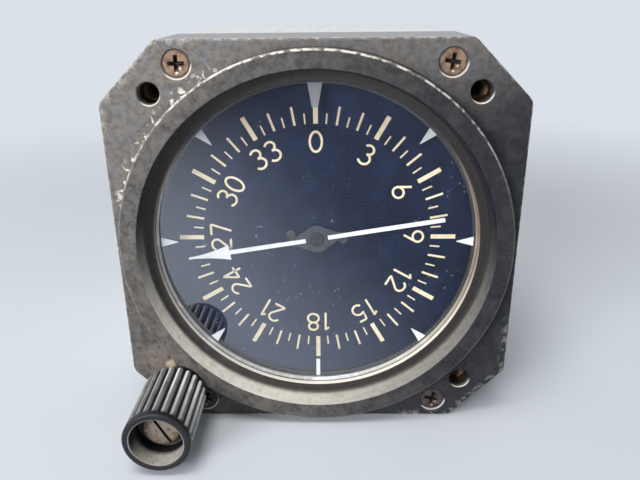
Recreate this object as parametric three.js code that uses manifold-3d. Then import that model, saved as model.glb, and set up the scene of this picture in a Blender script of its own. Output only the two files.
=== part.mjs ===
// Automatic direction finder indicator: a 3 1/8 inch panel instrument with a rotatable compass
// card, a pointer turned by a synchro, and a fluted knob that sets the card through a gear train.
// Millimetres. X is right as the pilot sees it, Y runs back into the panel, Z is up.
// Inside this file y = 0 is the panel bearing face of the flange and the dial's axis is x = z = 0.

import * as THREE from 'three';
import { mergeVertices } from 'three/addons/utils/BufferGeometryUtils.js';
import Module from 'manifold-3d';

const wasm = await Module();
wasm.setup();

// Clearances shared by the whole instrument
const seatGap = 0.05; // between two pieces fixed to each other
const runningGap = 0.3; // between a moving piece and its neighbour, end to end
const journalGap = 0.1; // between a shaft and the bore that it turns in, on the radius
const overrun = 1; // how far a cutter passes the face that it cuts
const weldDistance = 1e-4; // corners closer than this are one corner

// Bezel casting
const flangeSize = 82.55; // across the flats, 3 1/4 inch
const cornerCut = 11.73; // leg of each clipped corner
const cornerRound = 1; // small radius on the outline's corners
const castingDepth = 18; // flange face to the casting's rear face
const bossMargin = 1.87; // flange edge to the round boss
const bossHeight = 3.5;
const bossEdge = 0.7; // rounding of the boss's outer rim
const bossFace = 3.4; // width of the boss's front face
const mouthDrop = 0.5; // how much the mouth narrows on its way back to the lip
const lipFront = 1;
const lipThickness = 1;
const lipWidth = 1.95;
const cavityStep = 1.5; // the rear cavity is wider than the glass bore by this

// Glass stack, front to back
const gasketThickness = 0.2;
const glassThickness = 1.2;
const indexThickness = 0.8;
const retainerThickness = 1.4;
const retainerWidth = 1.9;
const gasketWidth = 1.7;
const indexRim = 2.6; // width of the index ring without its marks
const markLength = 3.4;
const markHalfWidth = 1.05;
const markCount = 8;
const topMarkLength = 4.7;
const topMarkHalfWidth = 1.47;
const topMarkTipHalfWidth = 0.6;
const bottomMarkHalfWidth = 0.42;

// Pointer and its shaft
const pointerHeading = 261; // degrees clockwise from the top index
const pointerThickness = 0.4;
const pointerTipGap = 1.15; // pointer's tip to the marks' tips, along the radius
const pointerTailTrim = 0.65; // the tail is shorter than the head by this
const pointerBarHalfWidth = 0.49;
const arrowLength = 9;
const arrowHalfWidth = 1.68;
const arrowTipHalfWidth = 0.2;
const arrowWaist = { alongShare: 0.5, halfWidthShare: 0.39 };
const pointerDiscRadius = 3;
const pointerFlare = 5.4; // where the arms have narrowed to the bar
const flareAngle = THREE.MathUtils.degToRad(52); // where the arms leave the disc
const pointerLift = 0.6; // marks' rear face to the pointer
const pointerHubRadius = 1.9;
const pointerHubLength = 0.8;
const rotorShaftRadius = 1.2;
const rotorShaftDepth = 10; // how far the shaft reaches into the synchro
const shaftNose = 0.25; // shaft end proud of the pointer

// Compass card and its hub
const cardGap = 0.4;
const cardEdgeGap = 0.9;
const cardThickness = 0.8;
const cardBoreRadius = 2.4;
const cardScrewCircle = 5.6;
const cardScrewHeadRadius = 1.05;
const cardScrewHeadHeight = 0.35;
const cardScrewShankRadius = 0.6;
const cardScrewAngles = [-86, 95]; // degrees clockwise from the top index
const hubFlangeRadius = 8;
const hubFlangeThickness = 2;
const hubSleeveWall = 1.7;

// Card post, which carries the hub
const postRadius = 2.6;
const postBoreRadius = 1.8;
const postFlangeRadius = 14;
const postFlangeThickness = 1.4;
const postScrewCircle = 11.8;
const postScrewCount = 3;
const postScrewHeadRadius = 1.7;
const postScrewHeadHeight = 0.9;
const postScrewShankRadius = 0.95;
const postScrewReach = 1.6; // how far a post screw enters the gear plate

// Retaining clips on the post, the idler's stud and the knob's shaft
const clipNose = 0.3; // shaft end proud of its clip
const clipThickness = 0.5;
const clipWidth = 1.3;
const clipGroove = 0.35;
const clipGapHalfShare = 0.55; // half the clip's opening against the radius that it grips

// Gear train from the knob to the card
const gearModule = 0.675;
const pinionTeeth = 8;
const cardGearInset = 10; // cavity wall to the card gear's pitch circle, before whole teeth
const gearThickness = 1.6;
const pinionFaceExtra = 0.6; // the pinion is longer than the gears are thick, at each end
const pressureAngle = THREE.MathUtils.degToRad(25);
const addendumShare = 0.8;
const dedendumShare = 1.05;
const toothShare = 0.93; // tooth thickness against half the pitch, which leaves backlash
const gearRim = 4.2; // card gear's root circle to its windows
const gearHubRing = 2.9; // hub flange to the windows
const gearWindowCount = 6;
const studRadius = 1.5;
const studShoulderRadius = 2.6;
const studShoulderHeight = 1.4;
const idlerHubRadius = 3.2;
const pocketGap = 0.4; // casting to the tips of the idler and the pinion

// Knob, on the lower left corner
const knobInsetX = 9.875; // flange side to the knob's axis
const knobInsetZ = 8.275; // flange foot to the knob's axis
const knobRadius = 6.8;
const knobLength = 17;
const knobStandOff = 3.4; // flange face to the knob's rear end
const knobRim = 1.1; // smooth band at the knob's mouth
const knobEdge = 0.45; // rounding of the mouth's outer rim
const knobRidgeShare = 0.16; // half a ridge's top against the pitch of the flutes
const knobValleyShare = 0.22; // half a valley's floor against the same pitch
const knobWall = 1.3;
const knobRecess = 6.2;
const knobFluteCount = 24;
const knobFluteDepth = 0.55;
const knobUnderRadius = 4.2;
const knobUnderDepth = 2.6;
const knobScrewHeadRadius = 3.8;
const knobScrewHeadHeight = 1.8;
const knobScrewHeadCrown = 0.5;
const knobScrewSlotWidth = 0.9;
const knobScrewSlotDepth = 0.9;
const knobScrewSlotTurn = -54; // degrees
const knobScrewShankRadius = 0.9;
const knobScrewShankLength = 5;
const knobShaftRadius = 1.58;
const bushingRadius = 2.6;
const bushingFlangeRadius = 3.1;
const bushingFlangeHeight = 0.8;
const bushingTail = 0.5;
const knobScallopGap = 1.7; // the boss is cut away round the knob by this

// Fasteners on the front
const bezelScrewInset = 15.575; // flange side to the screw's axis
const bezelScrewEdge = 4.4; // flange top or foot to the screw's axis
const bezelScrewHeadRadius = 2.85;
const bezelScrewHeadHeight = 1.7;
const bezelScrewShankRadius = 1.38;
const countersinkGap = 0.2;
const headDrop = 0.15; // screw head below the flange face
const crossLength = 3.1;
const crossWidth = 0.75;
const crossDepth = 1;
const browShare = 0.35; // rounded part of a slotted head's height
const browRadiusShare = 0.8;
const slotWidthShare = 0.4; // screw slot against the head's radius
const slotDepthShare = 0.5;
const crossTurns = [-6, -9, 14, 30]; // degrees, for the four screws in turn
const mountHoleInset = 9.84; // flange edges to a mounting hole's axis, 62.87 between holes
const mountHoleRadius = 2.15;
const insertRadius = 2.85;
const insertBoreRadius = 1.75;
const insertDepth = 2.2; // flange face to the insert
const insertLength = 9.5;

// Gear plate, standoffs and synchro
const plateThickness = 2;
const plateEdgeGap = 0.4;
const standoffInset = 14.3;
const standoffRadius = 2.8;
const standoffStudRadius = 1.3;
const synchroRadius = 13.5;
const synchroClearance = 2; // terminal pins to the back of the connector
const pilotRadius = 9.6;
const pilotLength = 1.8;
const grooveStart = 1.5;
const grooveWidth = 1.6;
const grooveDepth = 1.8;
const synchroEndRadius = 12.2;
const synchroEndLength = 2.2;
const bearingOuterRadius = 3.4;
const bearingWidth = 2;
const clampCount = 3;
const clampBossRadius = 2.1;
const clampReach = 1.3; // how far a clamp enters the groove
const clampThickness = 1.2;
const clampPlay = 0.2; // clamp's boss to the synchro
const clampScrewHeadRadius = 1.9;
const clampScrewHeadHeight = 1.3;
const clampScrewShankRadius = 0.95;
const terminalRadius = 10.6;
const terminalThickness = 2;
const terminalPinCount = 5;
const terminalPinRadius = 0.6;
const terminalPinLength = 2.4;
const terminalPinCircle = 7;

// Case can and rear connector
const caseDepth = 42; // casting's rear face to the can's rear face
const caseWall = 1.2;
const caseStep = 0.15; // can's outline inside the casting's
const caseRound = 3.2; // drawn edge round the can's rear face
const caseCornerRound = 2.4;
const rearScrewHeadRadius = 2.5;
const rearScrewHeadHeight = 1.5;
const rearScrewShankRadius = 1.2;
const rearScrewShankLength = 6;
const connectorFlangeSize = 26;
const connectorFlangeThickness = 1.6;
const connectorFlangeRound = 2;
const connectorHoleSpacing = 20.6;
const connectorBarrelRadius = 10.4;
const connectorBarrelLength = 10.4;
const connectorWall = 1.4;
const connectorBackRadius = 9.3;
const connectorBackLength = 3.6;
const connectorInsertTail = 0.4; // insert's back end proud of the shell's
const connectorLugCount = 3;
const connectorLugRadius = 0.9;
const connectorLugHeight = 0.7;
const connectorLugInset = 3.2; // barrel's mouth to the lugs
const connectorRibCount = 2;
const connectorRibWidth = 0.9;
const connectorRibHeight = 0.5;
const insertFaceDepth = 6; // barrel's mouth to the insert's face
const contactRadius = 0.65;
const contactDepth = 1.6;
const contactPitch = 3.3;
const contactRings = [5, 9];
const connectorScrewHeadRadius = 1.9;
const connectorScrewHeadHeight = 1.1;
const connectorScrewShankRadius = 0.95;
const connectorScrewShankLength = 4;

// Facet counts
const largeFacets = 40;
const mediumFacets = 20;
const smallFacets = 10;
const tinyFacets = 6;
const roundSteps = 2;
const cornerSteps = 2;
const innerFacets = 14;
const contactFacets = 5;
const flankSteps = (teeth) => (teeth === pinionTeeth ? 2 : 1);

// Places worked out from the sizes above, radii first
const flangeHalf = flangeSize / 2;
const bossRadius = flangeHalf - bossMargin;
const mouthRadius = bossRadius - bossFace;
const boreRadius = mouthRadius - mouthDrop;
const lipRadius = boreRadius - lipWidth;
const cavityRadius = boreRadius + cavityStep;
const stackRadius = boreRadius - runningGap / 2;
const indexRimRadius = stackRadius - indexRim;
const markTipRadius = indexRimRadius - markLength;
const pointerReach = markTipRadius - pointerTipGap;
const cardRadius = boreRadius - cardEdgeGap;
const hubBoreRadius = postRadius + journalGap;
const hubSleeveRadius = hubBoreRadius + hubSleeveWall;
const clampCircle = synchroRadius + clampBossRadius + clampPlay;
const clampRadius = clampCircle - synchroRadius + clampReach;
const insetLegShare = 2 - Math.SQRT2; // a clipped corner's leg shortens by this much of an inset

// Depths along Y
const lipRear = lipFront + lipThickness;
const glassFront = lipRear + gasketThickness;
const indexFront = glassFront + glassThickness;
const retainerFront = indexFront + indexThickness;
const pointerFront = retainerFront + pointerLift;
const pointerRear = pointerFront + pointerThickness;
const cardFront = pointerRear + pointerHubLength + cardGap;
const cardRear = cardFront + cardThickness;
const cavityFront = cardFront - cardGap;
const gearFront = cardRear + hubFlangeThickness;
const gearRear = gearFront + gearThickness;
const plateFront = castingDepth;
const plateRear = plateFront + plateThickness;
const postFlangeFront = plateFront - postFlangeThickness;
const hubRear = postFlangeFront - runningGap;
const postFront = cardRear + runningGap;
const postClipFront = postFront + clipNose;
const hubRecessRear = postClipFront + clipThickness + runningGap;
const studClipFront = gearFront - runningGap - clipThickness;
const studFront = studClipFront - clipNose;
const shaftClipFront = plateRear + runningGap;
const shaftTail = shaftClipFront + clipThickness + clipNose;
const clampFront = plateRear + grooveStart;
const clampRear = clampFront + clampThickness;
const caseRear = castingDepth + caseDepth;
const caseInside = caseRear - caseWall;
const connectorFlangeRear = caseRear + connectorFlangeThickness;
const connectorMouth = connectorFlangeRear + connectorBarrelLength;
const connectorBack = caseRear - connectorBackLength;
const terminalRear = connectorBack - synchroClearance - terminalPinLength;
const synchroRear = terminalRear - terminalThickness;
const knobRear = -knobStandOff;
const knobFront = knobRear - knobLength;
const knobFloor = knobFront + knobRecess;

// Gear train: the idler's centre closes the triangle between the dial's axis and the knob's
const knobX = -(flangeHalf - knobInsetX);
const knobZ = -(flangeHalf - knobInsetZ);
const knobDistance = Math.hypot(knobX, knobZ);
const pitchRadius = (teeth) => (teeth * gearModule) / 2;
const cardGearTeeth = Math.round((2 * (cavityRadius - cardGearInset)) / gearModule);
const idlerLeastRadius = (knobDistance - pitchRadius(pinionTeeth) - pitchRadius(cardGearTeeth)) / 2;
const idlerTeeth = Math.ceil((2 * idlerLeastRadius) / gearModule) + 1;
const cardToIdler = pitchRadius(cardGearTeeth) + pitchRadius(idlerTeeth);
const idlerToKnob = pitchRadius(idlerTeeth) + pitchRadius(pinionTeeth);
const idlerAlong = (cardToIdler ** 2 + knobDistance ** 2 - idlerToKnob ** 2) / (2 * knobDistance);
const idlerAcross = Math.sqrt(cardToIdler ** 2 - idlerAlong ** 2);
const idlerX = (idlerAlong * knobX + idlerAcross * knobZ) / knobDistance;
const idlerZ = (idlerAlong * knobZ - idlerAcross * knobX) / knobDistance;
const tipRadius = (teeth) => pitchRadius(teeth) + addendumShare * gearModule;
const rootRadius = (teeth) => pitchRadius(teeth) - dedendumShare * gearModule;
const windowsEnd = rootRadius(cardGearTeeth) - gearRim;
const windowsStart = hubFlangeRadius + gearHubRing;

// Finishes
const finish = (color, roughness, metalness) =>
  new THREE.MeshStandardMaterial({ color, roughness, metalness });
const finishes = {
  casting: () => finish(0x4a4743, 0.55, 0.6),
  glass: () => new THREE.MeshStandardMaterial({
    color: 0xdfe8ec, roughness: 0.05, metalness: 0, transparent: true, opacity: 0.25,
  }),
  rubber: () => finish(0x151515, 0.9, 0),
  dial: () => finish(0x101116, 0.6, 0),
  white: () => finish(0xf2f0ea, 0.5, 0),
  aluminium: () => finish(0xc9ccd0, 0.35, 0.9),
  bronze: () => finish(0x8a7466, 0.45, 0.8),
  brass: () => finish(0xb08d45, 0.4, 0.9),
  steel: () => finish(0x9a9a98, 0.35, 0.9),
  knob: () => finish(0x1d1f20, 0.5, 0),
  phenolic: () => finish(0x201c1a, 0.6, 0),
};

// Solids are closed meshes with merged corners and faces that point out
function toSolid(geometry) {
  const bare = geometry.index ? geometry.toNonIndexed() : geometry.clone();
  for (const name of Object.keys(bare.attributes)) {
    if (name !== 'position') bare.deleteAttribute(name);
  }
  const merged = mergeVertices(bare, weldDistance);
  const places = merged.attributes.position.array;
  const corners = [];
  for (let i = 0; i < merged.index.count; i += 3) {
    const [a, b, c] = [0, 1, 2].map((k) => merged.index.getX(i + k));
    if (a !== b && b !== c && c !== a) corners.push(a, b, c);
  }
  if (signedVolume(places, corners) < 0) {
    for (let i = 0; i < corners.length; i += 3) {
      [corners[i + 1], corners[i + 2]] = [corners[i + 2], corners[i + 1]];
    }
  }
  return new wasm.Manifold(new wasm.Mesh({
    numProp: 3,
    vertProperties: new Float32Array(places),
    triVerts: new Uint32Array(corners),
  }));
}

function signedVolume(places, corners) {
  const point = (i) => new THREE.Vector3().fromArray(places, 3 * i);
  let sum = 0;
  for (let i = 0; i < corners.length; i += 3) {
    const [a, b, c] = [point(corners[i]), point(corners[i + 1]), point(corners[i + 2])];
    sum += a.dot(b.cross(c));
  }
  return sum;
}

function join(first, ...rest) {
  return rest.reduce((whole, piece) => whole.add(piece), first);
}

function cut(first, ...rest) {
  return rest.reduce((whole, piece) => whole.subtract(piece), first);
}

// A turned piece: its profile is [radius, y] pairs round the Y axis, moved to x, z
function turned(profile, facets = smallFacets, x = 0, z = 0) {
  const points = profile.map(([radius, y]) => new THREE.Vector2(radius, y));
  const closed = profile[0][0] > 0 || profile.at(-1)[0] > 0;
  if (closed) points.push(points[0].clone());
  const geometry = new THREE.LatheGeometry(points, facets);
  geometry.translate(x, 0, z);
  return toSolid(geometry);
}

function rod(radius, front, rear, facets = smallFacets, x = 0, z = 0) {
  return turned([[0, front], [radius, front], [radius, rear], [0, rear]], facets, x, z);
}

function tube(outer, inner, front, rear, facets = smallFacets, x = 0, z = 0) {
  return turned([[inner, front], [outer, front], [outer, rear], [inner, rear]], facets, x, z);
}

// A flat piece: a shape in X and Z carried from one depth to another
function flat(shape, front, rear) {
  const geometry = new THREE.ExtrudeGeometry(shape, {
    depth: rear - front, bevelEnabled: false, curveSegments: cornerSteps,
  });
  geometry.rotateX(Math.PI / 2);
  geometry.translate(0, rear, 0);
  return toSolid(geometry);
}

function box(width, height, front, rear, x = 0, z = 0, turn = 0) {
  const geometry = new THREE.BoxGeometry(width, rear - front, height);
  geometry.rotateY(-THREE.MathUtils.degToRad(turn));
  geometry.translate(x, (front + rear) / 2, z);
  return toSolid(geometry);
}

function polygon(points) {
  return new THREE.Shape(points.map(([x, z]) => new THREE.Vector2(x, z)));
}

// A point at a radius and a dial angle, clockwise from the top as the pilot sees it
function onDial(radius, degrees) {
  const angle = THREE.MathUtils.degToRad(degrees);
  return [radius * Math.sin(angle), radius * Math.cos(angle)];
}

// Moves points drawn along a dial direction: u runs outward, v to the side
function alongDial(points, degrees) {
  const [ux, uz] = onDial(1, degrees);
  return points.map(([u, v]) => [u * ux - v * uz, u * uz + v * ux]);
}

// A square with clipped corners, each of its eight corners rounded
function clippedSquare(half, leg, round) {
  const far = half - leg;
  const corners = [
    [far, half], [-far, half], [-half, far], [-half, -far],
    [-far, -half], [far, -half], [half, -far], [half, far],
  ];
  const shape = new THREE.Shape();
  corners.forEach(([x, z], i) => {
    const here = new THREE.Vector2(x, z);
    const before = new THREE.Vector2(...corners.at(i - 1)).sub(here).setLength(round);
    const after = new THREE.Vector2(...corners[(i + 1) % corners.length]).sub(here).setLength(round);
    const start = here.clone().add(before);
    const end = here.clone().add(after);
    if (i === 0) shape.moveTo(start.x, start.y);
    else shape.lineTo(start.x, start.y);
    shape.quadraticCurveTo(here.x, here.y, end.x, end.y);
  });
  shape.closePath();
  return shape;
}

// The clip of a corner moves in by less than the flats do when the outline is drawn smaller
function insetSquare(inset, round) {
  return clippedSquare(flangeHalf - inset, cornerCut - inset * insetLegShare, round);
}

const corners = [[-1, 1], [1, 1], [1, -1], [-1, -1]];
const cornerNames = ['top_left', 'top_right', 'bottom_right', 'bottom_left'];

const instrument = new THREE.Group();
instrument.name = 'direction_finder_indicator';

function piece(name, solid, material) {
  const { vertProperties, triVerts } = solid.getMesh();
  const geometry = new THREE.BufferGeometry();
  geometry.setAttribute('position', new THREE.BufferAttribute(new Float32Array(vertProperties), 3));
  geometry.setIndex(new THREE.BufferAttribute(new Uint32Array(triVerts), 1));
  const mesh = new THREE.Mesh(geometry.toNonIndexed(), material);
  mesh.geometry.computeVertexNormals();
  mesh.name = name;
  instrument.add(mesh);
  return mesh;
}

// A gear's outline: involute flanks on each tooth, the first tooth centred on the phase angle
function gearOutline(teeth, phase) {
  const pitch = pitchRadius(teeth);
  const base = pitch * Math.cos(pressureAngle);
  const tip = tipRadius(teeth);
  const root = rootRadius(teeth);
  const involute = (angle) => Math.tan(angle) - angle;
  const halfAtPitch = (Math.PI / (2 * teeth)) * toothShare;
  const halfAt = (radius) =>
    halfAtPitch + involute(pressureAngle) - involute(Math.acos(Math.min(1, base / radius)));
  const start = Math.max(root, base);
  const flank = [];
  const steps = flankSteps(teeth);
  for (let step = 0; step <= steps; step++) {
    const radius = start + ((tip - start) * step) / steps;
    flank.push([radius, halfAt(radius)]);
  }
  if (root < base) flank.unshift([root, halfAt(base)]);
  const points = [];
  for (let tooth = 0; tooth < teeth; tooth++) {
    const middle = phase + (2 * Math.PI * tooth) / teeth;
    for (const [radius, half] of flank) points.push([radius, middle - half]);
    for (const [radius, half] of flank.toReversed()) points.push([radius, middle + half]);
  }
  return points.map(([radius, angle]) => [radius * Math.cos(angle), radius * Math.sin(angle)]);
}

// The phase that puts a gear in mesh: its gap faces the other gear's tooth on the line of centres
function meshingPhase(teeth, otherTeeth, otherPhase, lineAngle) {
  const otherTurn = ((lineAngle - otherPhase) * otherTeeth) / (2 * Math.PI);
  return lineAngle + Math.PI - ((1 / 2 - otherTurn) * 2 * Math.PI) / teeth;
}

const cardGearPhase = 0;
const idlerPhase = meshingPhase(
  idlerTeeth, cardGearTeeth, cardGearPhase, Math.atan2(idlerZ, idlerX),
);
const pinionPhase = meshingPhase(
  pinionTeeth, idlerTeeth, idlerPhase, Math.atan2(knobZ - idlerZ, knobX - idlerX),
);

function gear(teeth, phase, front, rear, x, z) {
  const outline = gearOutline(teeth, phase).map(([u, v]) => [x + u, z + v]);
  return flat(polygon(outline), front, rear);
}

// Bezel casting: a clipped square with a round boss, the lip that holds the glass, and behind it
// the cavity for the card and the pockets for the idler and the pinion
function bezelCasting() {
  const block = flat(insetSquare(0, cornerRound), 0, castingDepth);
  const rim = [];
  for (let step = 0; step <= roundSteps; step++) {
    const angle = (Math.PI / 2) * (step / roundSteps);
    rim.push([
      bossRadius - bossEdge + bossEdge * Math.sin(angle),
      -bossHeight + bossEdge - bossEdge * Math.cos(angle),
    ]);
  }
  const boss = turned([[0, -bossHeight], ...rim, [bossRadius, overrun], [0, overrun]], largeFacets);
  const scallop = rod(
    knobRadius + knobScallopGap, -bossHeight - overrun, overrun / 2, mediumFacets, knobX, knobZ,
  );
  const opening = turned([
    [0, -bossHeight - overrun],
    [mouthRadius, -bossHeight - overrun],
    [mouthRadius, -bossHeight],
    [boreRadius, lipFront],
    [lipRadius, lipFront],
    [lipRadius, lipRear],
    [boreRadius, lipRear],
    [boreRadius, cavityFront],
    [cavityRadius, cavityFront],
    [cavityRadius, castingDepth + overrun],
    [0, castingDepth + overrun],
  ], largeFacets);
  const back = castingDepth + overrun;
  const idlerPocket = rod(
    tipRadius(idlerTeeth) + pocketGap, cavityFront, back, mediumFacets, idlerX, idlerZ,
  );
  const pinionPocket = rod(
    tipRadius(pinionTeeth) + pocketGap, cavityFront, back, smallFacets, knobX, knobZ,
  );
  const bushingHole = rod(
    bushingRadius + seatGap, -overrun, cavityFront + overrun, smallFacets, knobX, knobZ,
  );
  const screwHoles = bezelScrewPlaces.map(([x, z]) => turned([
    [0, -overrun],
    [bezelScrewHeadRadius + countersinkGap, -overrun],
    [bezelScrewHeadRadius + countersinkGap, headDrop],
    [bezelScrewShankRadius + countersinkGap, headDrop + bezelScrewHeadHeight],
    [bezelScrewShankRadius + countersinkGap, back],
    [0, back],
  ], smallFacets, x, z));
  const mountHoles = mountPlaces.map(([x, z]) => turned([
    [0, -overrun],
    [mountHoleRadius, -overrun],
    [mountHoleRadius, insertDepth],
    [insertRadius + seatGap, insertDepth],
    [insertRadius + seatGap, back],
    [0, back],
  ], smallFacets, x, z));
  return cut(
    join(block, cut(boss, scallop)),
    opening, idlerPocket, pinionPocket, bushingHole, ...screwHoles, ...mountHoles,
  );
}

const bezelScrewPlaces = corners.map(([sx, sz]) => [
  sx * (flangeHalf - bezelScrewInset), sz * (flangeHalf - bezelScrewEdge),
]);
const mountReach = flangeHalf - mountHoleInset;
const mountPlaces = corners.slice(0, -1).map(([sx, sz]) => [sx * mountReach, sz * mountReach]);

piece('bezel_casting', bezelCasting(), finishes.casting());

// Glass stack, clamped against the lip from behind
piece('glass_gasket',
  tube(stackRadius, stackRadius - gasketWidth, lipRear, glassFront, largeFacets),
  finishes.rubber());
piece('dial_glass', rod(stackRadius, glassFront, indexFront, largeFacets), finishes.glass());
piece('index_ring', indexRing(), finishes.white());
piece('glass_retainer',
  tube(stackRadius, stackRadius - retainerWidth, retainerFront,
    retainerFront + retainerThickness, largeFacets),
  finishes.aluminium());

// Index ring: a flat rim with a mark every eighth of a turn, the top one broad, the bottom a bar
function indexRing() {
  const rimStart = indexRimRadius + indexRim / 2;
  const marks = [];
  for (let i = 0; i < markCount; i++) {
    const degrees = (360 * i) / markCount;
    let half = markHalfWidth;
    let tipHalf = 0;
    let length = markLength;
    if (i === 0) {
      half = topMarkHalfWidth;
      tipHalf = topMarkTipHalfWidth;
      length = topMarkLength;
    } else if (2 * i === markCount) {
      half = bottomMarkHalfWidth;
      tipHalf = bottomMarkHalfWidth;
    }
    const tip = indexRimRadius - length;
    const outline = [[rimStart, -half], [rimStart, half], [indexRimRadius, half]];
    if (tipHalf > 0) outline.push([tip, tipHalf], [tip, -tipHalf]);
    else outline.push([tip, 0]);
    outline.push([indexRimRadius, -half]);
    marks.push(flat(polygon(alongDial(outline, degrees)), indexFront, retainerFront));
  }
  return join(
    tube(stackRadius, indexRimRadius, indexFront, retainerFront, largeFacets), ...marks,
  );
}

// Flat-head bezel screws with a crossed recess
bezelScrewPlaces.forEach(([x, z], i) => {
  const headRear = headDrop + bezelScrewHeadHeight;
  const body = turned([
    [0, headDrop],
    [bezelScrewHeadRadius, headDrop],
    [bezelScrewShankRadius, headRear],
    [bezelScrewShankRadius, plateRear - seatGap],
    [0, plateRear - seatGap],
  ], smallFacets, x, z);
  const recessRear = headDrop + crossDepth;
  const slots = [0, 90].map((turn) => box(
    crossLength, crossWidth, headDrop - overrun, recessRear, x, z, crossTurns[i] + turn,
  ));
  piece(`bezel_screw_${cornerNames[i]}`, cut(body, ...slots), finishes.bronze());
});

// Brass inserts that the panel's mounting screws thread into
mountPlaces.forEach(([x, z], i) => {
  piece(`mounting_insert_${cornerNames[i]}`,
    tube(insertRadius, insertBoreRadius, insertDepth, insertDepth + insertLength, smallFacets, x, z),
    finishes.brass());
});

// Clip ring with an opening, sprung into a groove
function retainingClip(radius, front, x = 0, z = 0) {
  const inner = radius - clipGroove + seatGap;
  const ring = tube(radius + clipWidth, inner, front, front + clipThickness, smallFacets, x, z);
  const reach = radius + clipWidth + overrun;
  const mouth = box(
    2 * inner * clipGapHalfShare, reach, front - overrun, front + clipThickness + overrun,
    x, z + reach / 2,
  );
  return cut(ring, mouth);
}

function clipGrooveCutter(radius, front, x = 0, z = 0) {
  return tube(
    radius + overrun, radius - clipGroove, front - seatGap, front + clipThickness + seatGap,
    smallFacets, x, z,
  );
}

// Gear plate behind the casting, with the post that the card turns on
function gearPlate() {
  const inset = caseStep + caseWall + plateEdgeGap;
  const sheet = flat(insetSquare(inset, cornerRound), plateFront, plateRear);
  const hole = (radius, x, z, facets = tinyFacets) => rod(
    radius, plateFront - overrun, plateRear + overrun, facets, x, z,
  );
  return cut(
    sheet,
    rod(pilotRadius + seatGap, plateFront - overrun, plateRear + overrun, innerFacets),
    hole(knobShaftRadius + journalGap, knobX, knobZ, smallFacets),
    hole(studRadius + seatGap, idlerX, idlerZ, smallFacets),
    ...bezelScrewPlaces.map(([x, z]) => hole(bezelScrewShankRadius + seatGap, x, z, smallFacets)),
    ...standoffPlaces.map(([x, z]) => hole(standoffStudRadius + seatGap, x, z)),
    ...clampPlaces.map(([x, z]) => hole(clampScrewShankRadius + seatGap, x, z)),
    ...postScrewPlaces.map(([x, z]) => hole(postScrewShankRadius + seatGap, x, z)),
  );
}

const standoffReach = flangeHalf - standoffInset;
const standoffPlaces = corners.map(([sx, sz]) => [sx * standoffReach, sz * standoffReach]);
const around = (count, radius) => Array.from(
  { length: count }, (_, i) => onDial(radius, (360 * (i + 1 / 4)) / count),
);
const clampPlaces = around(clampCount, clampCircle);
const postScrewPlaces = around(postScrewCount, postScrewCircle);

piece('gear_plate', gearPlate(), finishes.aluminium());

piece('card_post', cut(
  join(
    rod(postRadius, postFront, plateFront, innerFacets),
    rod(postFlangeRadius, postFlangeFront, plateFront, innerFacets),
  ),
  rod(postBoreRadius, postFront - overrun, plateFront + overrun, innerFacets),
  clipGrooveCutter(postRadius, postClipFront),
  ...postScrewPlaces.map(([x, z]) => rod(
    postScrewShankRadius + seatGap, postFlangeFront - overrun, plateFront + overrun,
    tinyFacets, x, z,
  )),
), finishes.steel());
piece('card_post_clip', retainingClip(postRadius, postClipFront), finishes.steel());

// A small round-head screw with one slot: the head lies in front of its seat, or behind it
function slottedScrew({
  seat, headRadius, headHeight, shankRadius, end, x, z, turn = 0, facets = tinyFacets,
}) {
  const towards = Math.sign(seat - end);
  const face = seat + towards * headHeight;
  const brow = face - towards * headHeight * browShare;
  const body = turned([
    [0, face], [headRadius * browRadiusShare, face], [headRadius, brow],
    [headRadius, seat], [shankRadius, seat], [shankRadius, end], [0, end],
  ], facets, x, z);
  const slotEnds = [face + towards * overrun, face - towards * headHeight * slotDepthShare];
  const slot = box(
    2 * headRadius + overrun, headRadius * slotWidthShare,
    Math.min(...slotEnds), Math.max(...slotEnds), x, z, turn,
  );
  return cut(body, slot);
}

postScrewPlaces.forEach(([x, z], i) => {
  piece(`post_screw_${i + 1}`, slottedScrew({
    seat: postFlangeFront,
    headRadius: postScrewHeadRadius,
    headHeight: postScrewHeadHeight,
    shankRadius: postScrewShankRadius,
    end: plateFront + postScrewReach,
    x, z, turn: 90 * i,
  }), finishes.steel());
});

// Compass card on its hub, with the gear behind it
const cardScrewPlaces = cardScrewAngles.map((degrees) => onDial(cardScrewCircle, degrees));
const cardScrewHoles = (front, rear) => cardScrewPlaces.map(([x, z]) => rod(
  cardScrewShankRadius + seatGap, front - overrun, rear + overrun, tinyFacets, x, z,
));

piece('compass_card', cut(
  tube(cardRadius, cardBoreRadius, cardFront, cardRear, largeFacets),
  ...cardScrewHoles(cardFront, cardRear),
), finishes.dial());

piece('card_hub', cut(
  join(
    rod(hubFlangeRadius, cardRear, gearFront, innerFacets),
    rod(hubSleeveRadius, gearFront - overrun, hubRear, innerFacets),
  ),
  rod(hubBoreRadius, cardRear - overrun, hubRear + overrun, innerFacets),
  rod(postRadius + clipWidth + runningGap, cardRear - overrun, hubRecessRear, innerFacets),
  ...cardScrewHoles(cardRear, gearFront),
), finishes.brass());

piece('card_gear', cut(
  gear(cardGearTeeth, cardGearPhase, gearFront, gearRear, 0, 0),
  rod(hubSleeveRadius + seatGap, gearFront - overrun, gearRear + overrun, innerFacets),
  ...around(gearWindowCount, (windowsEnd + windowsStart) / 2).map(([x, z]) => rod(
    (windowsEnd - windowsStart) / 2, gearFront - overrun, gearRear + overrun, smallFacets, x, z,
  )),
), finishes.brass());

cardScrewPlaces.forEach(([x, z], i) => {
  piece(`card_screw_${['left', 'right'][i]}`, slottedScrew({
    seat: cardFront,
    headRadius: cardScrewHeadRadius,
    headHeight: cardScrewHeadHeight,
    shankRadius: cardScrewShankRadius,
    end: gearFront - seatGap,
    x, z, turn: cardScrewAngles[i],
  }), finishes.dial());
});

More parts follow.
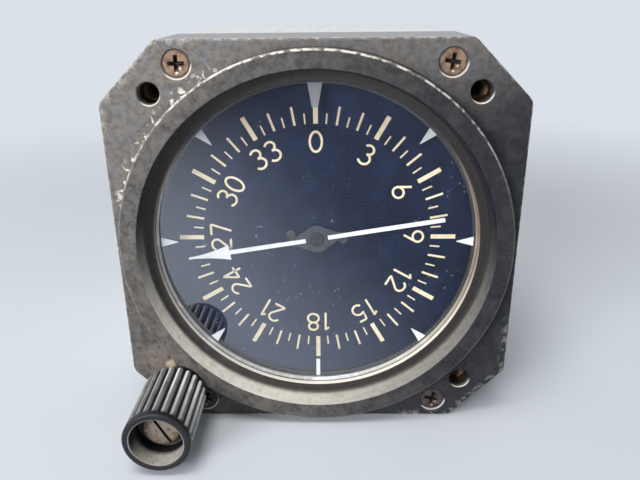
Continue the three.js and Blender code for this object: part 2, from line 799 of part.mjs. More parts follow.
// Pointer: an arrow and a plain tail on a disc that flares into both arms
function pointerBlade() {
  const base = pointerReach - arrowLength;
  const waist = [
    pointerReach - arrowLength * arrowWaist.alongShare,
    arrowHalfWidth * arrowWaist.halfWidthShare,
  ];
  const upper = [
    [pointerReach, arrowTipHalfWidth], waist, [base, arrowHalfWidth], [base, pointerBarHalfWidth],
    [pointerTailTrim - pointerReach, pointerBarHalfWidth],
  ];
  const mirrored = upper.toReversed().map(([u, v]) => [u, -v]);
  const bar = polygon(alongDial([...upper, ...mirrored], pointerHeading));
  const shoulder = [pointerDiscRadius * Math.cos(flareAngle), pointerDiscRadius * Math.sin(flareAngle)];
  const flare = [
    [pointerFlare, pointerBarHalfWidth], shoulder, [-shoulder[0], shoulder[1]],
    [-pointerFlare, pointerBarHalfWidth],
  ];
  const flareBelow = flare.toReversed().map(([u, v]) => [u, -v]);
  const web = polygon(alongDial([...flare, ...flareBelow], pointerHeading));
  return cut(
    join(
      flat(bar, pointerFront, pointerRear),
      flat(web, pointerFront, pointerRear),
      rod(pointerDiscRadius, pointerFront, pointerRear, mediumFacets),
    ),
    rod(rotorShaftRadius + seatGap, pointerFront - overrun, pointerRear + overrun),
  );
}

piece('pointer', pointerBlade(), finishes.white());
piece('pointer_hub',
  tube(pointerHubRadius, rotorShaftRadius + seatGap, pointerRear, pointerRear + pointerHubLength),
  finishes.brass());
piece('rotor_shaft',
  rod(rotorShaftRadius, pointerFront - shaftNose, plateRear + rotorShaftDepth),
  finishes.steel());

// Idler between the pinion and the card gear
const shoulderFront = plateFront - studShoulderHeight;
piece('idler_gear', cut(
  join(
    gear(idlerTeeth, idlerPhase, gearFront, gearRear, idlerX, idlerZ),
    rod(idlerHubRadius, gearFront, shoulderFront - runningGap, smallFacets, idlerX, idlerZ),
  ),
  rod(
    studRadius + journalGap, gearFront - overrun, shoulderFront + overrun,
    smallFacets, idlerX, idlerZ,
  ),
), finishes.brass());
piece('idler_stud', cut(
  join(
    rod(studRadius, studFront, plateRear, smallFacets, idlerX, idlerZ),
    rod(studShoulderRadius, shoulderFront, plateFront, smallFacets, idlerX, idlerZ),
  ),
  clipGrooveCutter(studRadius, studClipFront, idlerX, idlerZ),
), finishes.steel());
piece('idler_clip', retainingClip(studRadius, studClipFront, idlerX, idlerZ), finishes.steel());

// Knob: a deep cup with coarse flutes, held to its shaft by a screw at the bottom of the cup
function knobBody() {
  const pitch = (2 * Math.PI) / knobFluteCount;
  const valley = knobRadius - knobFluteDepth;
  const outline = [];
  for (let flute = 0; flute < knobFluteCount; flute++) {
    const ridge = pitch * flute;
    const middle = ridge + pitch / 2;
    outline.push(
      [knobRadius, ridge - pitch * knobRidgeShare],
      [knobRadius, ridge + pitch * knobRidgeShare],
      [valley, middle - pitch * knobValleyShare],
      [valley, middle + pitch * knobValleyShare],
    );
  }
  const places = outline.map(([radius, angle]) => [
    knobX + radius * Math.cos(angle), knobZ + radius * Math.sin(angle),
  ]);
  const fluted = flat(polygon(places), knobFront + knobRim / 2, knobRear);
  const rim = turned([
    [0, knobFront],
    [knobRadius - knobEdge, knobFront],
    [knobRadius, knobFront + knobEdge],
    [knobRadius, knobFront + knobRim],
    [0, knobFront + knobRim],
  ], 2 * knobFluteCount, knobX, knobZ);
  const bore = knobShaftRadius + seatGap;
  return cut(
    join(fluted, rim),
    rod(knobRadius - knobWall, knobFront - overrun, knobFloor, mediumFacets, knobX, knobZ),
    rod(bore, knobFloor - overrun, knobRear + overrun, smallFacets, knobX, knobZ),
    rod(knobUnderRadius, knobRear - knobUnderDepth, knobRear + overrun, smallFacets, knobX, knobZ),
  );
}

function knobScrew() {
  const face = knobFloor - knobScrewHeadHeight;
  const body = turned([
    [0, face],
    [knobScrewHeadRadius - knobScrewHeadCrown, face],
    [knobScrewHeadRadius, face + knobScrewHeadCrown],
    [knobScrewHeadRadius, knobFloor],
    [knobScrewShankRadius, knobFloor],
    [knobScrewShankRadius, knobFloor + knobScrewShankLength],
    [0, knobFloor + knobScrewShankLength],
  ], 2 * smallFacets, knobX, knobZ);
  const slot = box(
    2 * knobScrewHeadRadius + overrun, knobScrewSlotWidth,
    face - overrun, face + knobScrewSlotDepth, knobX, knobZ, knobScrewSlotTurn,
  );
  return cut(body, slot);
}

function knobPinionShaft() {
  const front = knobFloor + runningGap;
  return cut(
    join(
      rod(knobShaftRadius, front, shaftTail, smallFacets, knobX, knobZ),
      gear(
        pinionTeeth, pinionPhase, gearFront - pinionFaceExtra, gearRear + pinionFaceExtra,
        knobX, knobZ,
      ),
    ),
    rod(
      knobScrewShankRadius + seatGap, front - overrun,
      knobFloor + knobScrewShankLength + runningGap, smallFacets, knobX, knobZ,
    ),
    clipGrooveCutter(knobShaftRadius, shaftClipFront, knobX, knobZ),
  );
}

piece('knob', knobBody(), finishes.knob());
piece('knob_screw', knobScrew(), finishes.steel());
piece('knob_pinion_shaft', knobPinionShaft(), finishes.steel());
piece('knob_shaft_clip',
  retainingClip(knobShaftRadius, shaftClipFront, knobX, knobZ), finishes.steel());
piece('knob_bushing', cut(
  join(
    rod(bushingRadius, -bushingFlangeHeight, cavityFront + bushingTail, smallFacets, knobX, knobZ),
    rod(bushingFlangeRadius, -bushingFlangeHeight, 0, smallFacets, knobX, knobZ),
  ),
  rod(
    knobShaftRadius + journalGap, -bushingFlangeHeight - overrun,
    cavityFront + bushingTail + overrun, smallFacets, knobX, knobZ,
  ),
), finishes.brass());

// Synchro that turns the pointer, clamped to the gear plate by its groove
const rotorBoreRadius = rotorShaftRadius + journalGap;
const pilotFront = plateRear - pilotLength;
piece('synchro_housing', cut(
  turned([
    [0, pilotFront],
    [pilotRadius, pilotFront],
    [pilotRadius, plateRear],
    [synchroRadius, plateRear],
    [synchroRadius, clampFront],
    [synchroRadius - grooveDepth, clampFront],
    [synchroRadius - grooveDepth, clampFront + grooveWidth],
    [synchroRadius, clampFront + grooveWidth],
    [synchroRadius, synchroRear - synchroEndLength],
    [synchroEndRadius, synchroRear - synchroEndLength],
    [synchroEndRadius, synchroRear],
    [0, synchroRear],
  ], innerFacets),
  rod(rotorBoreRadius, pilotFront - overrun, plateRear + rotorShaftDepth + runningGap),
  rod(bearingOuterRadius + seatGap, pilotFront - overrun, pilotFront + bearingWidth),
), finishes.aluminium());
piece('rotor_bearing',
  tube(bearingOuterRadius, rotorBoreRadius, pilotFront, pilotFront + bearingWidth),
  finishes.steel());
piece('synchro_terminal_block', join(
  rod(terminalRadius, synchroRear, terminalRear, innerFacets),
  ...around(terminalPinCount, terminalPinCircle).map(([x, z]) => rod(
    terminalPinRadius, terminalRear - overrun, terminalRear + terminalPinLength, tinyFacets,
    x, z,
  )),
), finishes.phenolic());

clampPlaces.forEach(([x, z], i) => {
  const hole = clampScrewShankRadius + seatGap;
  piece(`synchro_clamp_${i + 1}`, turned([
    [hole, plateRear],
    [clampBossRadius, plateRear],
    [clampBossRadius, clampFront],
    [clampRadius, clampFront],
    [clampRadius, clampRear],
    [hole, clampRear],
  ], tinyFacets, x, z), finishes.steel());
  piece(`clamp_screw_${i + 1}`, slottedScrew({
    seat: clampRear,
    headRadius: clampScrewHeadRadius,
    headHeight: clampScrewHeadHeight,
    shankRadius: clampScrewShankRadius,
    end: plateFront + seatGap,
    x, z, turn: 45 * i,
  }), finishes.steel());
});

// Standoffs that tie the gear plate to the can
standoffPlaces.forEach(([x, z], i) => {
  piece(`standoff_${cornerNames[i]}`, cut(
    join(
      rod(standoffRadius, plateRear, caseInside, tinyFacets, x, z),
      rod(standoffStudRadius, plateFront + seatGap, plateRear + overrun, tinyFacets, x, z),
    ),
    rod(
      rearScrewShankRadius + seatGap, caseInside - rearScrewShankLength, caseInside + overrun,
      smallFacets, x, z,
    ),
  ), finishes.aluminium());
});

// Drawn aluminium can, open at the front, its rear edge rounded
function roundedBlock(inset, round, rear) {
  const geometry = new THREE.ExtrudeGeometry(insetSquare(inset + round, caseCornerRound - round / 2), {
    depth: caseDepth + round, bevelThickness: round, bevelSize: round, bevelSegments: cornerSteps,
    curveSegments: cornerSteps,
  });
  geometry.rotateX(Math.PI / 2);
  geometry.translate(0, rear - round, 0);
  return toSolid(geometry);
}

function caseCan() {
  const shell = cut(
    roundedBlock(caseStep, caseRound, caseRear),
    roundedBlock(caseStep + caseWall, caseRound - caseWall, caseInside),
    box(2 * flangeSize, 2 * flangeSize, -castingDepth - caseDepth, castingDepth),
  );
  const hole = (radius, x, z, facets = tinyFacets) => rod(
    radius, caseInside - overrun, caseRear + overrun, facets, x, z,
  );
  return cut(
    shell,
    hole(connectorBackRadius + seatGap, 0, 0, mediumFacets),
    ...standoffPlaces.map(([x, z]) => hole(rearScrewShankRadius + seatGap, x, z, smallFacets)),
    ...connectorScrewPlaces.map(([x, z]) => hole(connectorScrewShankRadius + seatGap, x, z)),
  );
}

const connectorScrewPlaces = corners.map(([sx, sz]) => [
  (sx * connectorHoleSpacing) / 2, (sz * connectorHoleSpacing) / 2,
]);

piece('case_can', caseCan(), finishes.aluminium());

standoffPlaces.forEach(([x, z], i) => {
  piece(`rear_screw_${cornerNames[i]}`, slottedScrew({
    seat: caseRear,
    headRadius: rearScrewHeadRadius,
    headHeight: rearScrewHeadHeight,
    shankRadius: rearScrewShankRadius,
    end: caseInside - rearScrewShankLength + runningGap,
    x, z, turn: 35 * i, facets: smallFacets,
  }), finishes.steel());
});

// Round multi-contact connector on the can's rear face
function connectorShell() {
  const half = connectorFlangeSize / 2;
  const flange = flat(
    clippedSquare(half, connectorFlangeRound, connectorFlangeRound / 2),
    caseRear, connectorFlangeRear,
  );
  const boreBack = connectorBackRadius - connectorWall;
  const boreFront = connectorBarrelRadius - connectorWall;
  const ribs = Array.from({ length: connectorRibCount }, (_, i) => {
    const start = connectorFlangeRear + connectorRibWidth * (2 * i + 1);
    return rod(
      connectorBarrelRadius + connectorRibHeight, start, start + connectorRibWidth, mediumFacets,
    );
  });
  const lugs = Array.from({ length: connectorLugCount }, (_, i) => {
    const lug = new THREE.CylinderGeometry(
      connectorLugRadius, connectorLugRadius, connectorBarrelRadius, tinyFacets,
    );
    lug.rotateX(Math.PI / 2);
    lug.translate(
      0, connectorMouth - connectorLugInset, connectorBarrelRadius / 2 + connectorLugHeight,
    );
    lug.rotateY((2 * Math.PI * i) / connectorLugCount);
    return toSolid(lug);
  });
  return cut(
    join(
      flange,
      rod(connectorBackRadius, connectorBack, connectorFlangeRear, mediumFacets),
      rod(connectorBarrelRadius, caseRear, connectorMouth, mediumFacets),
      ...ribs,
      ...lugs,
    ),
    rod(boreBack, connectorBack - overrun, connectorMouth + overrun, mediumFacets),
    rod(boreFront, connectorFlangeRear, connectorMouth + overrun, mediumFacets),
    ...connectorScrewPlaces.map(([x, z]) => rod(
      connectorScrewShankRadius + seatGap, caseRear - overrun, connectorFlangeRear + overrun,
      tinyFacets, x, z,
    )),
  );
}

function connectorInsert() {
  const face = connectorMouth - insertFaceDepth;
  const boreBack = connectorBackRadius - connectorWall - seatGap;
  const boreFront = connectorBarrelRadius - connectorWall - seatGap;
  const contacts = [];
  contactRings.forEach((count, ring) => {
    contacts.push(...around(count, contactPitch * (ring + 1)));
  });
  return cut(
    join(
      rod(boreBack, connectorBack - connectorInsertTail, connectorFlangeRear + overrun, mediumFacets),
      rod(boreFront, connectorFlangeRear, face, mediumFacets),
    ),
    ...contacts.map(([x, z]) => rod(contactRadius, face - contactDepth, face + overrun, contactFacets, x, z)),
  );
}

piece('connector_shell', connectorShell(), finishes.aluminium());
piece('connector_insert', connectorInsert(), finishes.phenolic());
connectorScrewPlaces.forEach(([x, z], i) => {
  piece(`connector_screw_${cornerNames[i]}`, slottedScrew({
    seat: connectorFlangeRear,
    headRadius: connectorScrewHeadRadius,
    headHeight: connectorScrewHeadHeight,
    shankRadius: connectorScrewShankRadius,
    end: connectorFlangeRear - connectorScrewShankLength,
    x, z, turn: 60 * i,
  }), finishes.steel());
});

// The instrument stands on the flats of its casting and can, centred over the origin
instrument.position.set(0, -(knobFront + connectorMouth) / 2, flangeHalf);

export default instrument;
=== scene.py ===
# %% [markdown]
# # An automatic direction finder indicator
# A panel instrument three and an eighth inches across. Its cast bezel has clipped corners and a
# round boss. Behind the glass lie eight white index marks, a compass card with figures, and a
# white pointer. A deep fluted knob on the lower left corner turns the card through three gears.
#
# The mechanical frame already holds the true sizes and the joints. This lesson dresses it. Each
# visible piece is made again with finer curves and rounded edges, and every piece gets a finish
# that nodes work out. Cells of words come before cells of code, so the file reads from top to
# bottom.

# %% Load the frame
import math

import bmesh
import bpy
from mathutils import Matrix, Vector


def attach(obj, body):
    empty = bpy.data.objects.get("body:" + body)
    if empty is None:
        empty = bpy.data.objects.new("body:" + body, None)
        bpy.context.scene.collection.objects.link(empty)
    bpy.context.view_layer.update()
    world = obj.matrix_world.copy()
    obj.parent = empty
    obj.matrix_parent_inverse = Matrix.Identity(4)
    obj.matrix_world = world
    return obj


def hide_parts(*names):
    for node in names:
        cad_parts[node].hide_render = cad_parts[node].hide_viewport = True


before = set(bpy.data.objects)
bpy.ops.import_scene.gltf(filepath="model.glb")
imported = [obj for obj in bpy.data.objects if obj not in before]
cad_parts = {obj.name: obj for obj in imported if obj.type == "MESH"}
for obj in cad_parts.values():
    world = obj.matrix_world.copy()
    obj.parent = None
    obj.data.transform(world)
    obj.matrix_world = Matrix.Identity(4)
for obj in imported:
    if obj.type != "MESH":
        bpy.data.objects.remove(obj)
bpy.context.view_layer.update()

# %% [markdown]
# ## Places
# A designer measures this instrument from two places: the flange's bearing face, and the dial's
# axis. The frame's own origin lies on the ground under the instrument. Every mesh below is drawn
# in the designer's millimetres, with x to the right, depth into the panel, and height above the
# dial's axis. One matrix then turns a finished mesh into the frame's metres.

# %% Drawing sizes to metres
MM = 0.001
FLANGE_FACE = -25.8
AXIS_HEIGHT = 41.275
TO_FRAME = Matrix.Scale(MM, 4) @ Matrix.Translation((0, FLANGE_FACE, AXIS_HEIGHT))


def at(x, depth, height):
    """A point of the drawing, as a place in the frame."""
    return TO_FRAME @ Vector((x, depth, height))


print("dial centre on the flange's face:", tuple(at(0, 0, 0)))

# %% [markdown]
# ## Camera
# The instrument is seen from close by: 120 mm in front of the flange, a little above it, looking
# down by about 21 degrees. So near a lens makes the knob loom and the case shrink behind the
# flange, and no longer lens from further off does that. The three angles are turned into three
# axes, and the camera's matrix is built from them.

# %% Camera
CAMERA_PLACE = (3.323, -119.556, 48.177)
YAW, PITCH, ROLL = -0.0213, 0.3704, -0.0107
FOCAL_PIXELS = 626.2
FRAME_PIXELS = 640
SENSOR_WIDTH = 36


def camera_axes(yaw, pitch, roll):
    """Right, up and backward axes of a camera that looks into the panel and down."""
    ahead = Vector((
        math.sin(yaw) * math.cos(pitch), math.cos(yaw) * math.cos(pitch), -math.sin(pitch)
    ))
    right = Vector((math.cos(yaw), -math.sin(yaw), 0))
    up = right.cross(ahead)
    return (
        math.cos(roll) * right + math.sin(roll) * up,
        math.cos(roll) * up - math.sin(roll) * right,
        -ahead,
    )


camera_data = bpy.data.cameras.new("camera")
camera_data.sensor_width = SENSOR_WIDTH
camera_data.lens = FOCAL_PIXELS / FRAME_PIXELS * SENSOR_WIDTH
camera_data.clip_start = 0.005
camera = bpy.data.objects.new("camera", camera_data)
bpy.context.scene.collection.objects.link(camera)
axes = Matrix(camera_axes(YAW, PITCH, ROLL)).transposed().to_4x4()
camera.matrix_world = Matrix.Translation(at(*CAMERA_PLACE)) @ axes
bpy.context.scene.camera = camera
bpy.context.scene.view_settings.view_transform = "Standard"
print("lens in millimetres:", round(camera_data.lens, 2))

# %% [markdown]
# ## Wires and graphs
# A shader is arithmetic on patterns, and arithmetic reads best as arithmetic. A Wire is one
# output of a node. Adding, multiplying or comparing wires puts a Math node into the tree, so that
# `1 - worn` is a mask turned round. A mask also blends two colours, and `layered` lays one coat
# over another by such masks, as dust, wear and stains lie on the real thing. A Graph adds any
# other node: its kind, its settings, and what goes into its sockets. Materials and Geometry Nodes
# share these classes, because they share the Math node.

# %% Wire
class Wire:
    """One output of a node, on which Python's operators work."""

    def __init__(self, graph, socket):
        self.graph = graph
        self.socket = socket

    def __add__(self, other):
        return self.graph.math("ADD", self, other)

    __radd__ = __add__

    def __sub__(self, other):
        return self.graph.math("SUBTRACT", self, other)

    def __rsub__(self, other):
        return self.graph.math("SUBTRACT", other, self)

    def __mul__(self, other):
        return self.graph.math("MULTIPLY", self, other)

    __rmul__ = __mul__

    def __truediv__(self, other):
        return self.graph.math("DIVIDE", self, other)

    def __rtruediv__(self, other):
        return self.graph.math("DIVIDE", other, self)

    def __abs__(self):
        return self.graph.math("ABSOLUTE", self)

    def least(self, other):
        return self.graph.math("MINIMUM", self, other)

    def most(self, other):
        return self.graph.math("MAXIMUM", self, other)

    def ease(self, low, high, start=0, end=1):
        """Eases from start to end while this wire goes from low to high."""
        return self.graph.add(
            "ShaderNodeMapRange",
            {"interpolation_type": "SMOOTHSTEP"},
            {"Value": self, 1: low, 2: high, 3: start, 4: end},
        )

    def blend(self, low, high):
        """The colour low where this mask is 0, and high where it is 1."""
        ends = [(*c, 1) if isinstance(c, tuple) else c for c in (low, high)]
        return self.graph.add(
            "ShaderNodeMix", {"data_type": "RGBA"}, {0: self, 6: ends[0], 7: ends[1]}, out=2
        )


def layered(tone, *coats):
    """A tone under coats of other tones. Each coat is a mask and the tone it shows."""
    for mask, coat in coats:
        tone = mask.blend(tone, coat)
    return tone


print("wires know", len([name for name in vars(Wire) if not name.startswith("__i")]), "things")

# %% Graph
class Graph:
    """A node tree that is written node by node."""

    def __init__(self, tree):
        self.tree = tree

    def put(self, socket, value):
        for part in value if isinstance(value, list) else [value]:
            if isinstance(part, Wire):
                self.tree.links.new(part.socket, socket)
            else:
                socket.default_value = part

    def add(self, kind, settings=None, inputs=None, out=0):
        node = self.tree.nodes.new(kind)
        for name, value in (settings or {}).items():
            setattr(node, name, value)
        for key, value in (inputs or {}).items():
            self.put(node.inputs[key], value)
        return Wire(self, node.outputs[out])

    def math(self, operation, *values):
        return self.add("ShaderNodeMath", {"operation": operation}, dict(enumerate(values)))

    def vector(self, x=0, y=0, z=0):
        return self.add("ShaderNodeCombineXYZ", inputs={0: x, 1: y, 2: z})

    def parts(self, vector):
        """The three numbers of a vector."""
        node = self.add("ShaderNodeSeparateXYZ", inputs={0: vector}).socket.node
        return [Wire(self, output) for output in node.outputs]

    def length(self, across, up):
        """The distance that two lengths at a right angle make together."""
        return self.math("SQRT", across * across + up * up)


print("graphs know", [name for name in vars(Graph) if not name.startswith("_")])

# %% [markdown]
# ## Finishes
# Every finish starts from one Principled shader. A value that is the same all over goes straight
# on its socket. Patterns read Object coordinates, which one Mapping node turns into drawing
# millimetres. So a noise scale of 2 means about two clouds to the millimetre, and a worn edge can
# be found by its place on the drawing. What varies is colour, gloss, metal and the small hills
# that bend the light, because textures can store those.

# %% Finish
class Finish(Graph):
    """A material with a Principled shader and patterns in drawing millimetres."""

    def __init__(self, name, colour, roughness, metallic=0.0, specular=0.5):
        self.material = bpy.data.materials.new(name)
        self.material.use_nodes = True
        super().__init__(self.material.node_tree)
        self.shader = self.tree.nodes["Principled BSDF"]
        self.set("Base Color", (*colour, 1))
        self.set("Roughness", roughness)
        self.set("Metallic", metallic)
        self.set("Specular IOR Level", specular)
        self.where = self.add(
            "ShaderNodeMapping",
            inputs={
                "Vector": self.add("ShaderNodeTexCoord", out="Object"),
                "Location": (0, -FLANGE_FACE, -AXIS_HEIGHT),
                "Scale": (1 / MM, 1 / MM, 1 / MM),
            },
        )
        self.x, self.depth, self.height = self.parts(self.where)

    def set(self, socket, value):
        self.put(self.shader.inputs[socket], value)

    def show(self, shader):
        """Makes another shader than the Principled one the material's surface."""
        self.put(self.tree.nodes["Material Output"].inputs["Surface"], shader)

    def noise(self, scale, detail=3.0, stretch=(1, 1, 1), rough=0.55):
        """Cloudy values round a half, with about scale clouds to the millimetre."""
        vector = self.add(
            "ShaderNodeVectorMath", {"operation": "MULTIPLY"}, {0: self.where, 1: stretch}
        )
        return self.add(
            "ShaderNodeTexNoise",
            inputs={"Vector": vector, "Scale": scale, "Detail": detail, "Roughness": rough},
        )

    def reach(self, x=0, height=0):
        """Distance from an axis that runs into the panel at this place."""
        return self.length(self.x - x, self.height - height)

    def bump(self, hills, millimetres):
        """Shades the surface as if it rose and fell by the hills times these millimetres."""
        self.set("Normal", self.add(
            "ShaderNodeBump", inputs={"Height": hills, "Distance": millimetres * MM}
        ))


print("a finish reads millimetres, so 1 m is", 1 / MM)

# %% [markdown]
# ## Shapes
# A Shape is a list of corners in drawing millimetres and the faces between them. Two ways of
# making one cover nearly the whole instrument. Turning spins a profile of radius and depth, as a
# lathe does. Lofting joins outlines that have equally many corners, as a flat plate or a drawn can
# has. Shapes add up, so a piece can hold several closed bodies.

# %% Shape
MERGE_REACH = 1e-5


class Shape:
    """Corners in drawing millimetres, and faces that name them."""

    def __init__(self, corners, faces):
        self.corners = list(corners)
        self.faces = list(faces)

    def __add__(self, other):
        start = len(self.corners)
        shifted = [tuple(start + corner for corner in face) for face in other.faces]
        return Shape(self.corners + other.corners, self.faces + shifted)

    def mesh(self):
        """A mesh whose faces all point outwards."""
        data = bpy.data.meshes.new("drawing")
        data.from_pydata(self.corners, [], self.faces)
        worked = bmesh.new()
        worked.from_mesh(data)
        bmesh.ops.remove_doubles(worked, verts=worked.verts, dist=MERGE_REACH)
        bmesh.ops.recalc_face_normals(worked, faces=worked.faces)
        worked.to_mesh(data)
        worked.free()
        return data


triangle = Shape([(0, 0, 0), (1, 0, 0), (0, 0, 1)], [(0, 1, 2)])
print("two triangles have", len((triangle + triangle).corners), "corners")

# %% Turning and lofting
TINY = 1e-6


def turned(profile, sides, x=0, height=0):
    """Spins points of radius and depth round an axis into the panel. Ends on the axis are closed;
    a profile that stays clear of the axis closes on itself."""
    rings, corners = [], []
    for radius, depth in profile:
        count = sides if radius > TINY else 1
        rings.append(range(len(corners), len(corners) + count))
        for i in range(count):
            angle = 2 * math.pi * i / sides
            out, up = radius * math.sin(angle), radius * math.cos(angle)
            corners.append((x + out, depth, height + up))
    if min(profile[0][0], profile[-1][0]) > TINY:
        rings.append(rings[0])
    faces = []
    for a, b in zip(rings, rings[1:]):
        for i in range(sides):
            j = (i + 1) % sides
            ring = (a[i % len(a)], a[j % len(a)], b[j % len(b)], b[i % len(b)])
            face = tuple(dict.fromkeys(ring))
            if len(face) > 2:
                faces.append(face)
    return Shape(corners, faces)


def lofted(layers):
    """Joins outlines, each a depth and its (x, height) corners, and closes both ends."""
    count = len(layers[0][1])
    corners = [(x, depth, height) for depth, outline in layers for x, height in outline]
    faces = [tuple(range(count)), tuple(range(len(corners) - count, len(corners)))]
    for layer in range(len(layers) - 1):
        for i in range(count):
            a, b = layer * count + i, layer * count + (i + 1) % count
            faces.append((a, b, b + count, a + count))
    return Shape(corners, faces)


def rod(radius, front, rear, sides=48, x=0, height=0):
    """A plain cylinder, which is most often a drill."""
    return turned([(0, front), (radius, front), (radius, rear), (0, rear)], sides, x, height)


def rounded(radius, depth, edge, towards, steps=5):
    """Profile points of a rounded edge. The corner is at this radius and depth; the round starts
    on the end face, which looks towards smaller depths (-1) or larger ones (1)."""
    points = []
    for step in range(steps + 1):
        angle = math.pi / 2 * step / steps
        points.append((
            radius - edge * (1 - math.sin(angle)),
            depth - towards * edge * (1 - math.cos(angle)),
        ))
    return points


print("a turned ring of 3 points and 8 sides has", len(turned([(2, 0), (3, 0), (3, 1)], 8).faces),
      "faces")

# %% [markdown]
# ## From a mesh to a piece
# Cutting is done with Blender's exact Boolean on whole meshes, because a casting is milled and
# drilled after it is cast. The finished mesh then gets a small Bevel on its sharp edges, since no
# real edge is a razor, and Weighted Normal keeps the flats flat between those bevels. Last, the
# frame is told which body carries the piece and which plain solids it stands for.

# %% Cutting and finishing
def as_object(drawn):
    """An object in the scene with this mesh, or with the mesh of this Shape."""
    thing = bpy.data.objects.new("work", drawn.mesh() if isinstance(drawn, Shape) else drawn)
    bpy.context.scene.collection.objects.link(thing)
    return thing


def worked_out(thing):
    """The plain mesh that an object's modifiers make. The object itself goes away."""
    depsgraph = bpy.context.evaluated_depsgraph_get()
    mesh = bpy.data.meshes.new_from_object(thing.evaluated_get(depsgraph))
    bpy.data.objects.remove(thing)
    return mesh


def milled(blank, cuts=(), joins=()):
    """A mesh with some shapes joined to it, and then others cut out of it."""
    block = as_object(blank)
    tools = []
    for operation, shapes in (("UNION", joins), ("DIFFERENCE", cuts)):
        for shape in shapes:
            tools.append(as_object(shape))
            step = block.modifiers.new(operation, "BOOLEAN")
            step.operation = operation
            step.solver = "EXACT"
            step.object = tools[-1]
    mesh = worked_out(block)
    for tool in tools:
        bpy.data.objects.remove(tool)
    return mesh


def piece(name, drawn, finishes, body, stands_for=(), bevel=0.0, angle=32):
    """Places a drawing in the frame as a named piece of the instrument."""
    thing = as_object(drawn)
    mesh = thing.data
    thing.name = mesh.name = name
    mesh.transform(TO_FRAME)
    mesh.materials.clear()
    for one in finishes if isinstance(finishes, list) else [finishes]:
        mesh.materials.append(one.material)
    mesh.shade_smooth()
    if bevel:
        edge = thing.modifiers.new("edges", "BEVEL")
        edge.width = bevel * MM
        edge.segments = 2
        edge.limit_method = "ANGLE"
        edge.angle_limit = math.radians(angle)
    else:
        mesh.set_sharp_from_angle(angle=math.radians(angle))
    flats = thing.modifiers.new("flats", "WEIGHTED_NORMAL")
    flats.keep_sharp = True
    flats.weight = 80
    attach(thing, body)
    if stands_for:
        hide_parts(*stands_for)
    print(f"{name}: {len(mesh.polygons)} faces on body {body}")
    return thing


# %% [markdown]
# ## Recipes
# Screws, tick marks, threads and flutes repeat one rule, so Geometry Nodes make them. A Recipe is
# such a tree with named inputs. A shape drawn above goes in where it says Shape, and the places
# for its copies come as the corners of another drawing, each with its own turn. A modifier takes
# its values by the sockets' identifiers. Every tree ends by making its copies real and giving them
# their finish, and the result is kept as a plain mesh.

# %% Recipe
class Recipe(Graph):
    """A Geometry Nodes tree with named inputs that makes one plain mesh."""

    def __init__(self, name, **sizes):
        super().__init__(bpy.data.node_groups.new(name, "GeometryNodeTree"))
        self.keys = {}
        for label, kind in (("Shape", "Geometry"), ("Places", "Object"), ("Finish", "Material")):
            self.socket(label, kind)
        for label, value in sizes.items():
            kind = "Int" if isinstance(value, int) else "Float"
            self.socket(label, kind).default_value = value
        self.tree.interface.new_socket(
            "Shape", in_out="OUTPUT", socket_type="NodeSocketGeometry"
        )
        self.entry = self.tree.nodes.new("NodeGroupInput")
        self.exit = self.tree.nodes.new("NodeGroupOutput")

    def socket(self, label, kind):
        item = self.tree.interface.new_socket(
            label, in_out="INPUT", socket_type="NodeSocket" + kind
        )
        self.keys[label] = item.identifier
        return item

    def __getitem__(self, label):
        return Wire(self, self.entry.outputs[label])

    def along(self, solid, depth, rotation=(0, 0, 0), scale=(1, 1, 1)):
        """Scales and turns a solid, and then moves it along the depth."""
        return self.add("GeometryNodeTransform", inputs={
            "Geometry": solid, "Translation": self.vector(y=depth), "Rotation": rotation,
            "Scale": scale,
        })

    def copies(self, shape):
        """Puts a copy of the shape at each place, turned as the place says."""
        places = self.add(
            "GeometryNodeObjectInfo", inputs={"Object": self["Places"]}, out="Geometry"
        )
        turn = self.add("GeometryNodeInputNamedAttribute", inputs={"Name": "turn"})
        return self.add(
            "GeometryNodeInstanceOnPoints",
            inputs={"Points": places, "Instance": shape, "Rotation": self.vector(y=turn)},
        )

    def end(self, shape):
        solid = self.add("GeometryNodeRealizeInstances", inputs={0: shape})
        inputs = {"Geometry": solid, "Material": self["Finish"]}
        self.put(self.exit.inputs[0], self.add("GeometryNodeSetMaterial", inputs=inputs))

    def make(self, finish, shape=None, places=None, **sizes):
        """Runs the tree. Places are (x, height, turn in degrees) on the flange's face."""
        thing = as_object(shape or bpy.data.meshes.new("blank"))
        step = thing.modifiers.new("recipe", "NODES")
        step.node_group = self.tree
        step[self.keys["Finish"]] = finish.material
        marks = None
        if places:
            dots = bpy.data.meshes.new("places")
            dots.from_pydata([(x, 0, height) for x, height, turn in places], [], [])
            turns = dots.attributes.new("turn", "FLOAT", "POINT")
            turns.data.foreach_set("value", [math.radians(turn) for x, height, turn in places])
            marks = as_object(dots)
            step[self.keys["Places"]] = marks
        for label, value in sizes.items():
            step[self.keys[label]] = value
        mesh = worked_out(thing)
        if marks:
            bpy.data.objects.remove(marks)
        return mesh


copying = Recipe("copies of a shape")
copying.end(copying.copies(copying["Shape"]))
print("inputs of the copying recipe:", list(copying.keys))
